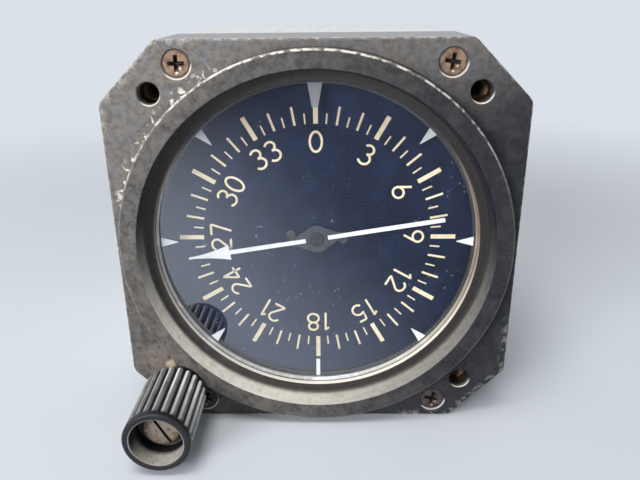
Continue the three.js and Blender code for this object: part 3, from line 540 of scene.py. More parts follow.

# %% [markdown]
# ## The casting's paint
# The bezel is a light alloy casting under a thin dark grey coat. Hands and panels have worn the
# coat through: bare metal shows on the flange's outline, on the boss's rim, low in the mouth and
# at the rims of the screw holes. On the boss's rim, low in the mouth, on the lip and on the lower
# rims of the holes the pale tone is also painted light, brightest where faces look up. Each place
# is found by its distance on the drawing, from the boss's circle, from the clipped outline or from
# a hole's axis. Multiplying that distance by noise breaks it up. The coat itself is uneven too. It
# is dusty on the left, and painted shade makes it nearly black on the right and at the bottom.
# The upper flange has been rubbed by hands, and its paler tone is also painted light. The top face
# is painted paler as light from above. By the knob lie a tan patch, a darker brown spot and a pale
# cream spot, which is partly bare metal and partly a painted highlight.

# %% Sizes of the flange and the boss
FLANGE_HALF = 41.275
CLIP_LEG = 11.73
CASTING_REAR = 18.0
BOSS_RADIUS = 39.7
BOSS_FRONT = -3.5
MOUTH_RADIUS = 36.0
BORE_RADIUS = 35.5
LIP_RADIUS = 33.55
LIP_FRONT = 1.0
LIP_REAR = 2.0
KNOB_AXIS = (-31.4, -33.0)
CORNERS = {
    "top_left": (-1, 1), "top_right": (1, 1), "bottom_right": (1, -1), "bottom_left": (-1, -1)
}


def corner_places(across, up):
    """The corners of an upright rectangle round the dial's axis, clockwise from the top left."""
    return [(x * across, z * up) for x, z in CORNERS.values()]


def corner_nodes(name):
    """The frame's nodes of this name at the same corners."""
    return [f"{name}_{corner}" for corner in CORNERS]


SCREW_PLACES = corner_places(25.7, 36.875)
MOUNT_PLACES = corner_places(31.435, 31.435)[:3]
print("screws at", SCREW_PLACES)

# %% Casting finish
casting_paint = Finish("casting_paint", (0.08, 0.075, 0.072), 0.5, specular=0.22)
x, depth, height = casting_paint.x, casting_paint.depth, casting_paint.height
DIAGONAL = math.sqrt(0.5)
past_clip = (abs(x) + abs(height)) * DIAGONAL - (2 * FLANGE_HALF - CLIP_LEG) * DIAGONAL
outline = (abs(x) - FLANGE_HALF).most((abs(height) - FLANGE_HALF).most(past_clip))
clouds = casting_paint.noise(0.22, 5.0, rough=0.6)
grains = casting_paint.noise(0.75, 5.0, rough=0.66)
flecks = casting_paint.noise(0.8, 2.0)
from_axis = casting_paint.reach()
past_boss = from_axis - BOSS_RADIUS
front_half = depth.ease(1.5, 0.2)
# This mask grows towards the right, where the coat is painted darker and less dusty: painted
# shade.
shaded_right = x.ease(-30.0, 34.0)
print("outline, grain and distances are ready")

# %% Where the coat is gone, and painted highlights
# The boss's rim grows paler towards the top: a painted highlight over real wear.
lit_top = (height * 0.95 - x * 0.08).ease(4.0, 36.0)
outline_wear = outline.ease(-0.5, -0.05) * front_half * flecks.ease(0.46, 0.62)
lower_right = (x - height).ease(54.0, 62.0) * outline.ease(-2.2, -0.2)
upper_left = (height - x).ease(58.0, 68.0) * outline.ease(-2.0, -0.4)
scuffs = lower_right.most(upper_left) * front_half * (
    casting_paint.noise(0.7, 5.0, rough=0.65).ease(0.48, 0.6)
)
boss_line = past_boss.ease(-0.5, -0.3) * past_boss.ease(0.3, 0.05) * depth.ease(-2.2, -2.9)
boss_wear_and_highlight = boss_line * (0.06 + lit_top * flecks.ease(0.42, 0.58, 0.04, 0.75))
by_boss = past_boss.ease(-0.2, 0.1) * past_boss.ease(2.6, 0.6) * x.ease(-14.0, -24.0)
chips = by_boss * height.ease(2.0, 12.0) * casting_paint.noise(0.62, 3.0).ease(0.56, 0.6)
# The lower mouth wall is painted cream, fading upwards and to the right: painted light on a face
# that looks up, over worn paint.
mouth_wear_and_light = from_axis.ease(36.2, 36.03) * depth.ease(1.05, -0.5) * (
    height.ease(8.0, -22.0) * (1 - shaded_right * 0.78)
)
# The lip's wall is painted paler towards the bottom: painted light on faces that look up, over
# bare metal.
lip_wear_and_light = from_axis.ease(33.75, 33.65) * depth.ease(0.95, 1.05) * height.ease(27.0, 12.0)
# The lower rims of the screw and mount holes are painted pale: partly bare metal, partly a painted
# highlight on faces that look up.
rim_highlights = 0
for places, inner, outer in ((SCREW_PLACES, 2.74, 2.9), (MOUNT_PLACES, 2.22, 2.3)):
    for place in places:
        reach = casting_paint.reach(*place)
        lit_low_side = (height - place[1] - (x - place[0]) * 0.35).ease(-0.6, -1.8)
        rim_highlights += reach.ease(inner - 0.12, inner) * reach.ease(outer + 0.15, outer) * lit_low_side
# The sum holds real wear, and the painted highlights on the boss's rim and the holes' lower rims.
wear_and_highlights = outline_wear * 0.35 + scuffs * 0.22 + boss_wear_and_highlight + chips * 0.9 + rim_highlights * front_half * 0.75
wear_and_highlights = wear_and_highlights.least(1.0)
print("worn places are masked")

# %% Tones of the casting
grey = grains.ease(0.36, 0.62).blend((0.02, 0.02, 0.02), (0.2, 0.188, 0.175))
# Painted shade: the coat runs from dark grey on the left to near-black on the right.
coat = shaded_right.blend((0.076, 0.07, 0.066), (0.012, 0.013, 0.018))
# The upper left flange is painted paler: painted light from the upper left, over rubbing by hands.
lit_rubbed_top = past_boss.ease(0.1, 0.4) * (height - x * 0.35).ease(10.0, 34.0)
warmth = casting_paint.noise(0.33, 3.0).ease(0.4, 0.6)
rubbed_tone = warmth.blend((0.2, 0.2, 0.208), (0.225, 0.196, 0.168))
lit_rubbed_coat = (grains.ease(0.6, 0.36) * 0.5).blend(rubbed_tone, (0.08, 0.077, 0.075))
# The low left flange is painted darker and bluish: painted shade.
shaded_low_flange = past_boss.ease(0.0, 0.3) * height.ease(-30.0, -40.0) * x.ease(-26.0, -8.0)
# The mouth's wall is painted near-black, bluish at its front: painted shade in the recess.
inside = from_axis.ease(36.25, 36.05)
mouth_shade_tone = depth.ease(-3.2, -1.2).blend((0.008, 0.011, 0.028), (0.03, 0.027, 0.027))
on_flange = depth.ease(-0.4, -0.1) * front_half
tan_patch = casting_paint.reach(-34.4, -27.0).ease(5.5, 1.5) * grains.ease(0.25, 0.6) * on_flange
# A darker brown spot and a pale cream spot by the knob. The cream spot is partly bare metal and
# partly a painted highlight.
brown_spot = casting_paint.reach(-32.2, -25.9).ease(1.7, 0.6) * flecks.ease(0.3, 0.5) * on_flange
bare_and_highlight = (casting_paint.reach(-32.7, -27.9) + grains * 3.0).ease(2.9, 2.1) * on_flange
cream = grains.ease(0.3, 0.7).blend((0.72, 0.67, 0.57), (0.86, 0.82, 0.73))
lip_lit_tone = height.ease(4.0, -24.0).blend((0.26, 0.19, 0.13), (0.78, 0.73, 0.63))
casting_paint.set("Base Color", layered(
    (0.34 - shaded_right * 0.29).blend(coat, grey),
    (clouds.ease(0.46, 0.62) * (0.3 - shaded_right * 0.24), (0.19, 0.172, 0.155)),
    (lit_rubbed_top * 0.55, lit_rubbed_coat),
    (shaded_low_flange * 0.85, (0.022, 0.023, 0.03)),
    # The flange's top face is painted paler: painted light from above.
    (height.ease(41.1, 41.26) * 0.75, (0.36, 0.36, 0.375)),
    (inside * 0.78, mouth_shade_tone),
    (tan_patch * 0.6, (0.26, 0.215, 0.17)),
    (brown_spot * 0.85, (0.12, 0.065, 0.03)),
    (bare_and_highlight * 0.85, (0.6, 0.5, 0.37)),
    (mouth_wear_and_light * grains.ease(0.15, 0.5, 0.75, 1.0), cream),
    (lip_wear_and_light, lip_lit_tone),
    (wear_and_highlights, (0.74, 0.69, 0.62)),
))
casting_paint.set("Roughness", grains.ease(0.3, 0.7, 0.45, 0.62))
casting_paint.set("Metallic", wear_and_highlights * 0.35)
casting_paint.bump(grains + clouds * 0.6 - wear_and_highlights * 0.4, 0.14)
print("nodes in the casting's paint:", len(casting_paint.tree.nodes))

# %% [markdown]
# ## The bezel casting
# The flange is a square plate with clipped corners. A loft through a few outlines gives it a
# rounded front edge. The boss is turned, with a soft outer rim and a small fillet at its foot.
# A round cutter takes a bite out of it, so that a finger can reach the knob. After boss and flange
# are joined, the mouth, the lip and the bore are cut by one turned shape, the way a lathe bores a
# casting. Pockets for the gears lie behind the card.

# %% Outline of the flange
LEG_SHARE = 2 - math.sqrt(2)
TANGENT_SHARE = math.tan(math.pi / 8)
SHARPEST = 0.05
FRONT_EDGE = 0.55
EDGE_STEPS = 5


def eased(start, corner, stop, shares):
    """Points on the curve that eases a corner, from start to stop."""
    return [tuple(start * (1 - t) ** 2 + corner * 2 * t * (1 - t) + stop * t ** 2) for t in shares]


def clipped_square(half, leg, tangent, steps=8):
    """Corners of a square with clipped corners. Each corner is rounded from this far away."""
    far = half - leg
    ends = [Vector(end) for end in (
        (far, half), (-far, half), (-half, far), (-half, -far),
        (-far, -half), (far, -half), (half, -far), (half, far),
    )]
    points = []
    for before, here, after in zip([ends[-1]] + ends, ends, ends[1:] + [ends[0]]):
        start = here + (before - here).normalized() * tangent
        stop = here + (after - here).normalized() * tangent
        points += eased(start, here, stop, [step / steps for step in range(steps + 1)])
    return points


def case_outline(inset, tangent):
    """The flange's outline, moved inwards. A clip moves in less than a flat does."""
    return clipped_square(
        FLANGE_HALF - inset, CLIP_LEG - inset * LEG_SHARE,
        max(tangent - inset * TANGENT_SHARE, SHARPEST),
    )


front_layers = [
    (FRONT_EDGE * (1 - math.sin(turn)), case_outline(FRONT_EDGE * (1 - math.cos(turn)), 1.0))
    for turn in (math.pi / 2 * step / EDGE_STEPS for step in range(EDGE_STEPS, -1, -1))
]
flange_block = lofted(front_layers + [(CASTING_REAR, case_outline(0, 1.0))])
print("flange outline has", len(front_layers[0][1]), "corners")

# %% Boss and mouth
BIG_SIDES = 192
FRONT_FILLET = 0.4
SCALLOP_RADIUS = 7.2
CAVITY_FRONT = 6.0
CAVITY_RADIUS = 37.0
BEYOND_FRONT, BEYOND_REAR = -6, 20
boss = turned(
    [(0, BOSS_FRONT)]
    + rounded(BOSS_RADIUS, BOSS_FRONT, 0.4, -1)
    + [(BOSS_RADIUS, -FRONT_FILLET), (BOSS_RADIUS + 0.12, -0.12),
       (BOSS_RADIUS + FRONT_FILLET, 0.02), (BOSS_RADIUS, 1), (0, 1)],
    BIG_SIDES,
)
boss = milled(boss, cuts=[rod(SCALLOP_RADIUS, BEYOND_FRONT, 0.004, 96, *KNOB_AXIS)])
opening = turned([
    (0, BEYOND_FRONT), (MOUTH_RADIUS + 0.3, BEYOND_FRONT), (MOUTH_RADIUS + 0.3, BOSS_FRONT),
    (MOUTH_RADIUS + 0.1, BOSS_FRONT + 0.08), (MOUTH_RADIUS, BOSS_FRONT + 0.3),
    (BORE_RADIUS + 0.05, LIP_FRONT - 0.35), (BORE_RADIUS - 0.1, LIP_FRONT - 0.08),
    (BORE_RADIUS - 0.35, LIP_FRONT), (LIP_RADIUS + 0.12, LIP_FRONT),
    (LIP_RADIUS + 0.03, LIP_FRONT + 0.04), (LIP_RADIUS, LIP_FRONT + 0.14),
    (LIP_RADIUS, LIP_REAR), (BORE_RADIUS, LIP_REAR), (BORE_RADIUS, CAVITY_FRONT),
    (CAVITY_RADIUS, CAVITY_FRONT), (CAVITY_RADIUS, BEYOND_REAR), (0, BEYOND_REAR),
], BIG_SIDES)
print("faces of the boss:", len(boss.polygons), "and of the mouth's cutter:", len(opening.faces))

# %% Casting
BUSHING_HOLE = 2.65
IDLER_AXIS = (-27.23819, -22.66931)
IDLER_POCKET, PINION_POCKET = 9.3775, 3.64
SEAT_PROFILE = [(0, -1), (2.85, -1), (2.72, 0.1), (2.72, 0.16), (1.58, 1.75),
                (1.58, BEYOND_REAR), (0, BEYOND_REAR)]
MOUNT_PROFILE = [(0, -1), (2.35, -1), (2.35, 0), (2.15, 0.2), (2.15, 2.2), (2.9, 2.2),
                 (2.9, BEYOND_REAR), (0, BEYOND_REAR)]
holes = [
    turned(profile, 48, *place)
    for profile, places in ((SEAT_PROFILE, SCREW_PLACES), (MOUNT_PROFILE, MOUNT_PLACES))
    for place in places
]
casting = milled(flange_block, joins=[boss], cuts=[
    opening, rod(BUSHING_HOLE, -2, 8, 32, *KNOB_AXIS),
    rod(IDLER_POCKET, CAVITY_FRONT, BEYOND_REAR, 64, *IDLER_AXIS),
    rod(PINION_POCKET, CAVITY_FRONT, BEYOND_REAR, 32, *KNOB_AXIS), *holes,
])
piece("casting", casting, casting_paint, "housing", ["bezel_casting"], bevel=0.09)

# %% [markdown]
# ## Glass stack
# A flat glass lies against the lip from behind, on a thin black gasket. Behind it sit a seat ring,
# bright below, painted dark on its upper half as shade and tarnished brown on its right, and the
# index ring. The glass must let lamplight through to the card, so it isn't a refracting solid: its
# shader mixes a clear Transparent one with a mirror, and shadows stay light. The front face
# mirrors by Schlick's law, more the flatter one looks on it, and alike from both sides so that
# light gets in. The rear and edge faces mirror weakly, and more to the lower left, as a greasy
# glass does under a side light.

# %% Glass
GLASS_FRONT = 2.2
INDEX_FRONT = 3.4
STACK_RADIUS = 35.355
GLASS_RADIUS = 33.6
GLASS_REAR_RADIUS = 33.26
MIRROR_TINT = (0.84, 0.88, 1.0, 1)
FRONT_FACING = -0.9


def clear_glass(name, mirror_share):
    """A clear finish. The function mirror_share works out how much light it mirrors."""
    glass = Finish(name, (0.9, 0.93, 0.95), 0.05)
    clear = glass.add("ShaderNodeBsdfTransparent", inputs={"Color": (0.985, 0.99, 0.99, 1)})
    smear = glass.noise(0.05, 4.0, stretch=(1, 1, 2)).ease(0.4, 0.7, 0.015, 0.06)
    mirror = glass.add("ShaderNodeBsdfGlossy", inputs={"Color": MIRROR_TINT, "Roughness": smear})
    share = mirror_share(glass)
    glass.show(glass.add("ShaderNodeMixShader", inputs={0: share, 1: clear, 2: mirror}))
    glass.tree.nodes.remove(glass.shader)
    return glass


def by_angle(glass):
    """Schlick's law for glass, from how much the surface turns away from the eye."""
    facing = glass.add("ShaderNodeLayerWeight", inputs={"Blend": 0.5}, out="Facing")
    return glass.math("POWER", facing, 5) * 0.9 + 0.024


def by_place(glass):
    """A weak mirror that grows towards the lower left."""
    return (glass.x * 0.75 + glass.height * 0.65).ease(15.0, -31.0, 0.002, 0.2)


glass_mesh = turned([
    (0, GLASS_FRONT), (GLASS_RADIUS, GLASS_FRONT), (GLASS_REAR_RADIUS, INDEX_FRONT),
    (0, INDEX_FRONT),
], BIG_SIDES).mesh()
rear_faces = [face.index for face in glass_mesh.polygons if face.normal.y >= FRONT_FACING]
glass_finishes = [clear_glass("clear_glass", by_angle), clear_glass("clear_glass_rear", by_place)]
glass = piece("glass", glass_mesh, glass_finishes, "housing", ["dial_glass"])
for index in rear_faces:
    glass.data.polygons[index].material_index = 1
print("faces behind the front one:", len(rear_faces))

# %% Gasket
def plain(name, low, high, scale, grain, rough, metallic=0.0):
    """An evenly worn finish: two tones in clouds, a fine grain, and a varying gloss."""
    finish = Finish(name, low, rough[0], metallic)
    clouds = finish.noise(scale, 4.0).ease(0.32, 0.68)
    finish.set("Base Color", clouds.blend(low, high))
    finish.set("Roughness", clouds.ease(0, 1, *rough))
    if grain:
        finish.bump(finish.noise(scale * 9, 2.0), grain)
    return finish


rubber = plain("gasket_rubber", (0.008, 0.008, 0.009), (0.02, 0.02, 0.022), 1.5, 0.02, (0.7, 0.9))
gasket = turned([(33.655, 2.02), (35.3, 2.02), (35.3, 2.18), (33.655, 2.18)], BIG_SIDES)
piece("gasket", gasket, rubber, "housing", ["glass_gasket"])

# %% Seat ring
seat_metal = Finish("seat_metal", (0.9, 0.87, 0.8), 0.4, 0.2)
turning = seat_metal.noise(0.5, 4.0).ease(0.32, 0.68)
by_gasket = seat_metal.depth.ease(2.5, 2.36)
tarnish = seat_metal.x.ease(10.0, 28.0) * seat_metal.height.ease(-30.0, -8.0, 0.35, 0.9)
seat_metal.set("Base Color", layered(
    turning.blend((0.84, 0.81, 0.74), (0.95, 0.93, 0.87)),
    (tarnish, (0.36, 0.28, 0.19)),
    # The upper half of the ring is painted dark: painted shade.
    (seat_metal.height.ease(8.0, 24.0), (0.05, 0.05, 0.055)),
    (by_gasket, (0.1, 0.09, 0.07)),
))
seat_metal.set("Roughness", turning.ease(0, 1, 0.35, 0.5))
seat_ring = turned(
    [(33.62, 2.24), (33.68, 2.2), (35.3, 2.2), (35.3, 3.38), (33.3, 3.38), (33.28, 3.34)],
    BIG_SIDES,
)
piece("glass_seat_ring", seat_ring, seat_metal, "housing")

# %% [markdown]
# ## Index ring
# The ring is dark, so that only its eight marks show: a broad one at the top, a narrow bar at the
# bottom, and pointed ones at the other eighths. The marks are raised a hair above the ring's
# face. Their white is the pointer's, but it greys towards the top, where the boss shades them.

# %% White paint and the index ring
INDEX_INNER = 32.755
RIM_FRONT, RIM_REAR = 3.42, 4.2
marking_white = plain(
    "marking_white", (0.87, 0.87, 0.86), (0.94, 0.94, 0.94), 0.4, 0.006, (0.4, 0.55)
)
index_white = Finish("index_white", (0.86, 0.86, 0.85), 0.45)
shaded = index_white.height.ease(13.0, 31.0)
index_white.set("Base Color", shaded.blend((0.9, 0.9, 0.9), (0.2, 0.2, 0.21)))
index_white.set("Roughness", index_white.noise(0.4, 4.0).ease(0.3, 0.7, 0.4, 0.55))
index_grey = plain(
    "index_grey", (0.022, 0.022, 0.026), (0.042, 0.041, 0.046), 0.8, 0.01, (0.45, 0.65)
)
index_rim = turned([
    (INDEX_INNER, RIM_FRONT + 0.08), (INDEX_INNER + 0.1, RIM_FRONT), (STACK_RADIUS, RIM_FRONT),
    (STACK_RADIUS, RIM_REAR), (INDEX_INNER, RIM_REAR),
], BIG_SIDES)
piece("index_rim", index_rim, index_grey, "housing", ["index_ring"])

# %% Index marks
def plate(outline, front, rear, edge=0.04):
    """A flat plate of an (x, height) outline, whose front edge is slightly eased."""
    middle = [sum(values) / len(outline) for values in zip(*outline)]
    reach = max(math.dist(point, middle) for point in outline)
    share = 1 - edge / reach
    smaller = [tuple(m + (p - m) * share for p, m in zip(point, middle)) for point in outline]
    return lofted([(front, smaller), (front + edge, outline), (rear, outline)])


def on_dial(outline, degrees):
    """Turns an outline of (outward, sideways) points to a dial angle."""
    angle = math.radians(degrees)
    out = (math.sin(angle), math.cos(angle))
    return [(u * out[0] - v * out[1], u * out[1] + v * out[0]) for u, v in outline]


def mirrored(upper):
    """Closes an outline drawn on one side of its own axis."""
    return upper + [(u, -v) for u, v in reversed(upper)]


MARK_BASE = 32.93
MARK_FRONT, MARK_REAR = 3.41, 3.6
mark_set = [
    ((28.1, 1.47, 0.6), [0]), ((28.65, 0.44, 0.44), [180]),
    ((29.36, 1.02, 0.05), [45, 90, 135, 225, 270, 315]),
]
marks = Shape([], [])
for (inner, base, tip), headings in mark_set:
    outline = mirrored([(MARK_BASE, -base), (inner, -tip)])
    for degrees in headings:
        marks += plate(on_dial(outline, degrees), MARK_FRONT, MARK_REAR)
piece("index_marks", marks, index_white, "housing")

# %% [markdown]
# ## Compass card
# The card is a thin matt disc of blue-black, with a little pale dust in patches. Its ticks and
# figures are engraved and filled with cream paint, which is painted darker and browner towards the
# top as shade. They are made here as thin raised strips, so that they are real shapes. There are
# three lengths of tick: short ones at every 5 degrees, longer ones at 10, and broad ones at 30.
# One
# recipe makes all three: it leaves out each place that a longer tick already holds.

# %% Card
CARD_FRONT = 6.4
CARD_REAR = 7.2
CARD_RADIUS = 34.6
CARD_HOLE = 2.4
dial_black = Finish("dial_paint", (0.009, 0.009, 0.012), 0.6, specular=0.12)
dust = dial_black.noise(1.5, 1.0).ease(0.705, 0.745) * dial_black.noise(0.07, 2.0).ease(0.5, 0.58)
tones = dial_black.noise(0.25, 4.0).ease(0.3, 0.7)
dial_black.set("Base Color", layered(
    tones.blend((0.004, 0.008, 0.026), (0.008, 0.016, 0.05)), (dust * 0.5, (0.35, 0.38, 0.42))
))
dial_black.set("Roughness", dial_black.noise(0.6, 3.0).ease(0.3, 0.7, 0.5, 0.7))
card = turned(
    [(CARD_HOLE, CARD_REAR), (CARD_HOLE, CARD_FRONT + 0.06), (CARD_HOLE + 0.06, CARD_FRONT)]
    + rounded(CARD_RADIUS, CARD_FRONT, 0.12, -1, steps=3) + [(CARD_RADIUS, CARD_REAR)],
    BIG_SIDES,
)
piece("card", card, dial_black, "card", ["compass_card"])

# %% Tick recipe
ticks = Recipe("dial ticks", Count=12, Skip=0, Inner=24.4, Length=2.0, Width=0.5,
               Depth=CARD_FRONT, Proud=0.05)
index = ticks.add("GeometryNodeInputIndex")
turn = index * (2 * math.pi) / ticks["Count"]
middle = ticks["Inner"] + ticks["Length"] * 0.5
spot = ticks.vector(
    middle * ticks.math("SINE", turn), ticks["Depth"], middle * ticks.math("COSINE", turn)
)
dots = ticks.add("GeometryNodePoints", inputs={"Count": ticks["Count"], "Position": spot})
strip = ticks.add("GeometryNodeMeshCube", inputs={
    "Size": ticks.vector(ticks["Width"], ticks["Proud"] * 2, ticks["Length"])
})
held = ticks.math("COMPARE", ticks.math("MODULO", index, ticks["Skip"]), 0, 0.5)
free = 1 - held * ticks.math("GREATER_THAN", ticks["Skip"], 0.5)
ticks.end(ticks.add("GeometryNodeInstanceOnPoints", inputs={
    "Points": dots, "Selection": free, "Instance": strip, "Rotation": ticks.vector(y=turn),
}))
print("tick recipe takes", list(ticks.keys))

# %% Ticks
marking_cream = Finish("marking_cream", (0.88, 0.8, 0.58), 0.5)
patches = marking_cream.noise(0.5, 4.0).ease(0.32, 0.68)
marking_cream.set("Base Color", layered(
    patches.blend((0.84, 0.7, 0.45), (0.97, 0.87, 0.62)),
    # Towards the top the cream is painted darker and browner: painted shade.
    (marking_cream.height.ease(14.0, 27.0) * 0.8, (0.5, 0.385, 0.29)),
))
marking_cream.set("Roughness", patches.ease(0, 1, 0.45, 0.6))
tick_set = {
    "ticks_30": {"Count": 12, "Skip": 0, "Length": 5.25, "Width": 0.95},
    "ticks_10": {"Count": 36, "Skip": 3, "Length": 3.75, "Width": 0.47},
    "ticks_5": {"Count": 72, "Skip": 2, "Length": 2.1, "Width": 0.31},
}
for name, sizes in tick_set.items():
    piece(name, ticks.make(marking_cream, **sizes), marking_cream, "card")

# %% [markdown]
# ## Figures
# The figures stand round the card with their tops outwards, from 0 to 33 in steps of three. They
# are drawn as an engraver's template draws them: one line of even width along arcs and straight
# strokes. Each figure is a set of paths in a box one unit high, and a recipe lays a flat strip
# along every path.

# %% Strokes of the figures
def arc(x, y, across, up, start=0, end=360, steps=28):
    """Points on an ellipse. Degrees count anticlockwise from the right."""
    angles = (math.radians(start + (end - start) * i / steps) for i in range(steps + 1))
    return [(x + across * math.cos(a), y + up * math.sin(a)) for a in angles]


def soft(points, cut=0.07):
    """A path of straight strokes whose inner corners are eased."""
    path = [points[0]]
    for before, here, after in zip(points, points[1:], points[2:]):
        a, b, c = Vector(before), Vector(here), Vector(after)
        start = b + (a - b).normalized() * cut
        stop = b + (c - b).normalized() * cut
        path += eased(start, b, stop, (0, 0.25, 0.5, 0.75, 1))
    return path + [points[-1]]


LOW, HIGH = 0.064, 0.936
SIX = [arc(0, 0.3, 0.23, 0.236), [(-0.21, 0.4), (0.07, HIGH)]]
FIVE_TOP = soft([(0.2, HIGH), (-0.13, HIGH), (-0.17, 0.52)])
GLYPHS = {
    "0": [arc(0, 0.5, 0.235, 0.436, steps=40)],
    "1": [soft([(-0.15, 0.79), (0, HIGH - 0.02), (0, LOW - 0.06)], 0.03)],
    "2": [arc(0, 0.705, 0.225, 0.231, 165, -38) + soft([(0.15, 0.53), (-0.23, LOW), (0.25, LOW)])],
    "3": [arc(-0.01, 0.735, 0.2, 0.201, 150, -90), arc(-0.01, 0.3, 0.235, 0.236, 92, -150)],
    "4": [soft([(0.09, LOW - 0.06), (0.09, HIGH), (-0.25, 0.3), (0.27, 0.3)], 0.05)],
    "5": [FIVE_TOP + arc(0, 0.325, 0.235, 0.26, 128, -142)],
    "6": SIX,
    "7": [soft([(-0.23, HIGH), (0.23, HIGH), (-0.05, LOW - 0.05)])],
    "8": [arc(0, 0.735, 0.195, 0.2), arc(0, 0.3, 0.235, 0.236)],
    "9": [[(-x, 1 - y) for x, y in stroke] for stroke in SIX],
}
print("figures drawn:", "".join(sorted(GLYPHS)))

# %% Strip recipe
QUARTER = (math.pi / 2, 0, 0)
strips = Recipe("strips along paths", Width=0.48, Depth=CARD_FRONT, Proud=0.05)
paths = strips.add("GeometryNodeMeshToCurve", inputs={"Mesh": strips["Shape"]})
level = strips.add("GeometryNodeSetCurveNormal", {"mode": "Z_UP"}, {"Curve": paths})
section = strips.add("GeometryNodeCurvePrimitiveQuadrilateral", inputs={
    "Width": strips["Width"], "Height": strips["Proud"] * 2,
})
ribbon = strips.add("GeometryNodeCurveToMesh", inputs={
    "Curve": level, "Profile Curve": section, "Fill Caps": True,
})
strips.end(strips.along(ribbon, strips["Depth"], QUARTER))
print("strips take", list(strips.keys))

# %% Figures round the card
FIGURE_HEIGHT = 4.72
FIGURE_MIDDLE = 20.7
WIDER = 1.11
ADVANCE, NARROW_ADVANCE = 0.73, 0.45
CROSSING_LIFT = 0.008


def path_mesh(paths):
    """A drawing of lines only. A path that ends where it starts is closed. Every second path lies
    a hair higher, so that crossing strips don't share a plane."""
    corners, edges = [], []
    for number, path in enumerate(paths):
        closed = math.dist(path[0], path[-1]) < TINY
        points = path[:-1] if closed else path
        first = len(corners)
        corners += [(x, y, number % 2 * CROSSING_LIFT) for x, y in points]
        edges += [(first + i, first + i + 1) for i in range(len(points) - 1)]
        if closed:
            edges.append((len(corners) - 1, first))
    data = bpy.data.meshes.new("paths")
    data.from_pydata(corners, edges, [])
    return data


def figure_paths(text, degrees):
    """The strokes of a figure that stands at this dial angle with its top outwards."""
    widths = [NARROW_ADVANCE if sign == "1" else ADVANCE for sign in text]
    start = -sum(widths) / 2
    angle = math.radians(degrees)
    paths = []
    for sign, width in zip(text, widths):
        for stroke in GLYPHS[sign]:
            path = []
            for x, y in stroke:
                u = (start + width / 2 + x * WIDER) * FIGURE_HEIGHT
                v = (y - 0.5) * FIGURE_HEIGHT + FIGURE_MIDDLE
                path.append((u * math.cos(angle) + v * math.sin(angle),
                             v * math.cos(angle) - u * math.sin(angle)))
            paths.append(path)
        start += width
    return paths


figures = [path for n in range(12) for path in figure_paths(str(3 * n), 30 * n)]
figure_mesh = strips.make(marking_cream, path_mesh(figures))
piece("figures", figure_mesh, marking_cream, "card", angle=50)

# %% [markdown]
# ## Small slotted screws
# The card, the can and the connector are held by round-head screws with one slot, and the knob by
# a larger one. One turned blank gives the head its crown, and a Boolean inside the recipe cuts the
# slot. The copies take their turns from their places, because no fitter leaves all slots in line.

# %% Slotted screw recipe
BLADE_HALF = 10.0
slotting = Recipe("slotted screws", Slot=0.6, Floor=0.0)
blade = slotting.add("GeometryNodeMeshCube", inputs={
    "Size": slotting.vector(slotting["Slot"], 2 * BLADE_HALF, 2 * BLADE_HALF)
})
slotted = slotting.add(
    "GeometryNodeMeshBoolean", {"operation": "DIFFERENCE", "solver": "EXACT"},
    {"Mesh 1": slotting["Shape"], "Mesh 2": slotting.along(blade, slotting["Floor"])},
)
slotting.end(slotting.copies(slotted))
print("slotted screws take", list(slotting.keys))

# %% Card screws
def round_head(seat, face, head, shank, end, sides=40):
    """A screw blank: a crowned head whose face and seat are given, and its shank."""
    towards = 1 if face > seat else -1
    tall = abs(face - seat)
    crown = [(0, face), (head * 0.45, face - towards * 0.06 * tall)]
    edge = min(0.45 * tall, 0.3 * head)
    rim = rounded(head, face - towards * 0.1 * tall, edge, towards, steps=4)
    return turned(crown + rim + [(head, seat), (shank, seat), (shank, end), (0, end)], sides)


def slotted_screws(name, finish, body, stands_for, places, blank, face, depth, width):
    """Makes a set of equal screws. The slot is this deep below the head's face, which looks away
    from the shank's end, the blank's last corner."""
    towards = 1 if face > blank.corners[-1][1] else -1
    floor = face - towards * depth + towards * BLADE_HALF
    mesh = slotting.make(finish, blank, places, Slot=width, Floor=floor)
    return piece(name, mesh, finish, body, stands_for, bevel=0.05)


dull_bronze = plain(
    "dull_bronze", (0.055, 0.05, 0.053), (0.1, 0.088, 0.086), 1.2, 0.01, (0.4, 0.6), 0.4
)
CARD_SCREW_CIRCLE = 5.6
CARD_SCREW_FACE = 6.05
card_screw_places = [
    (*on_dial([(CARD_SCREW_CIRCLE, 0)], degrees)[0], turn)
    for degrees, turn in ((-86, 20), (95, 75))
]
slotted_screws(
    "card_screws", dull_bronze, "card", ["card_screw_left", "card_screw_right"],
    card_screw_places, round_head(CARD_FRONT, CARD_SCREW_FACE, 1.05, 0.6, 8.9, 32),
    CARD_SCREW_FACE, 0.2, 0.26,
)

# %% [markdown]
# ## Pointer
# The pointer is cut from thin sheet: an arrow with hollowed sides at one end and a plain tail at
# the other. Its middle is a dark disc that flares into both arms, and only the arms outside the
# disc are white. A small dark cap on the rotor's shaft holds it. The arms lie 0.05 mm proud of the
# flare, as paint does.

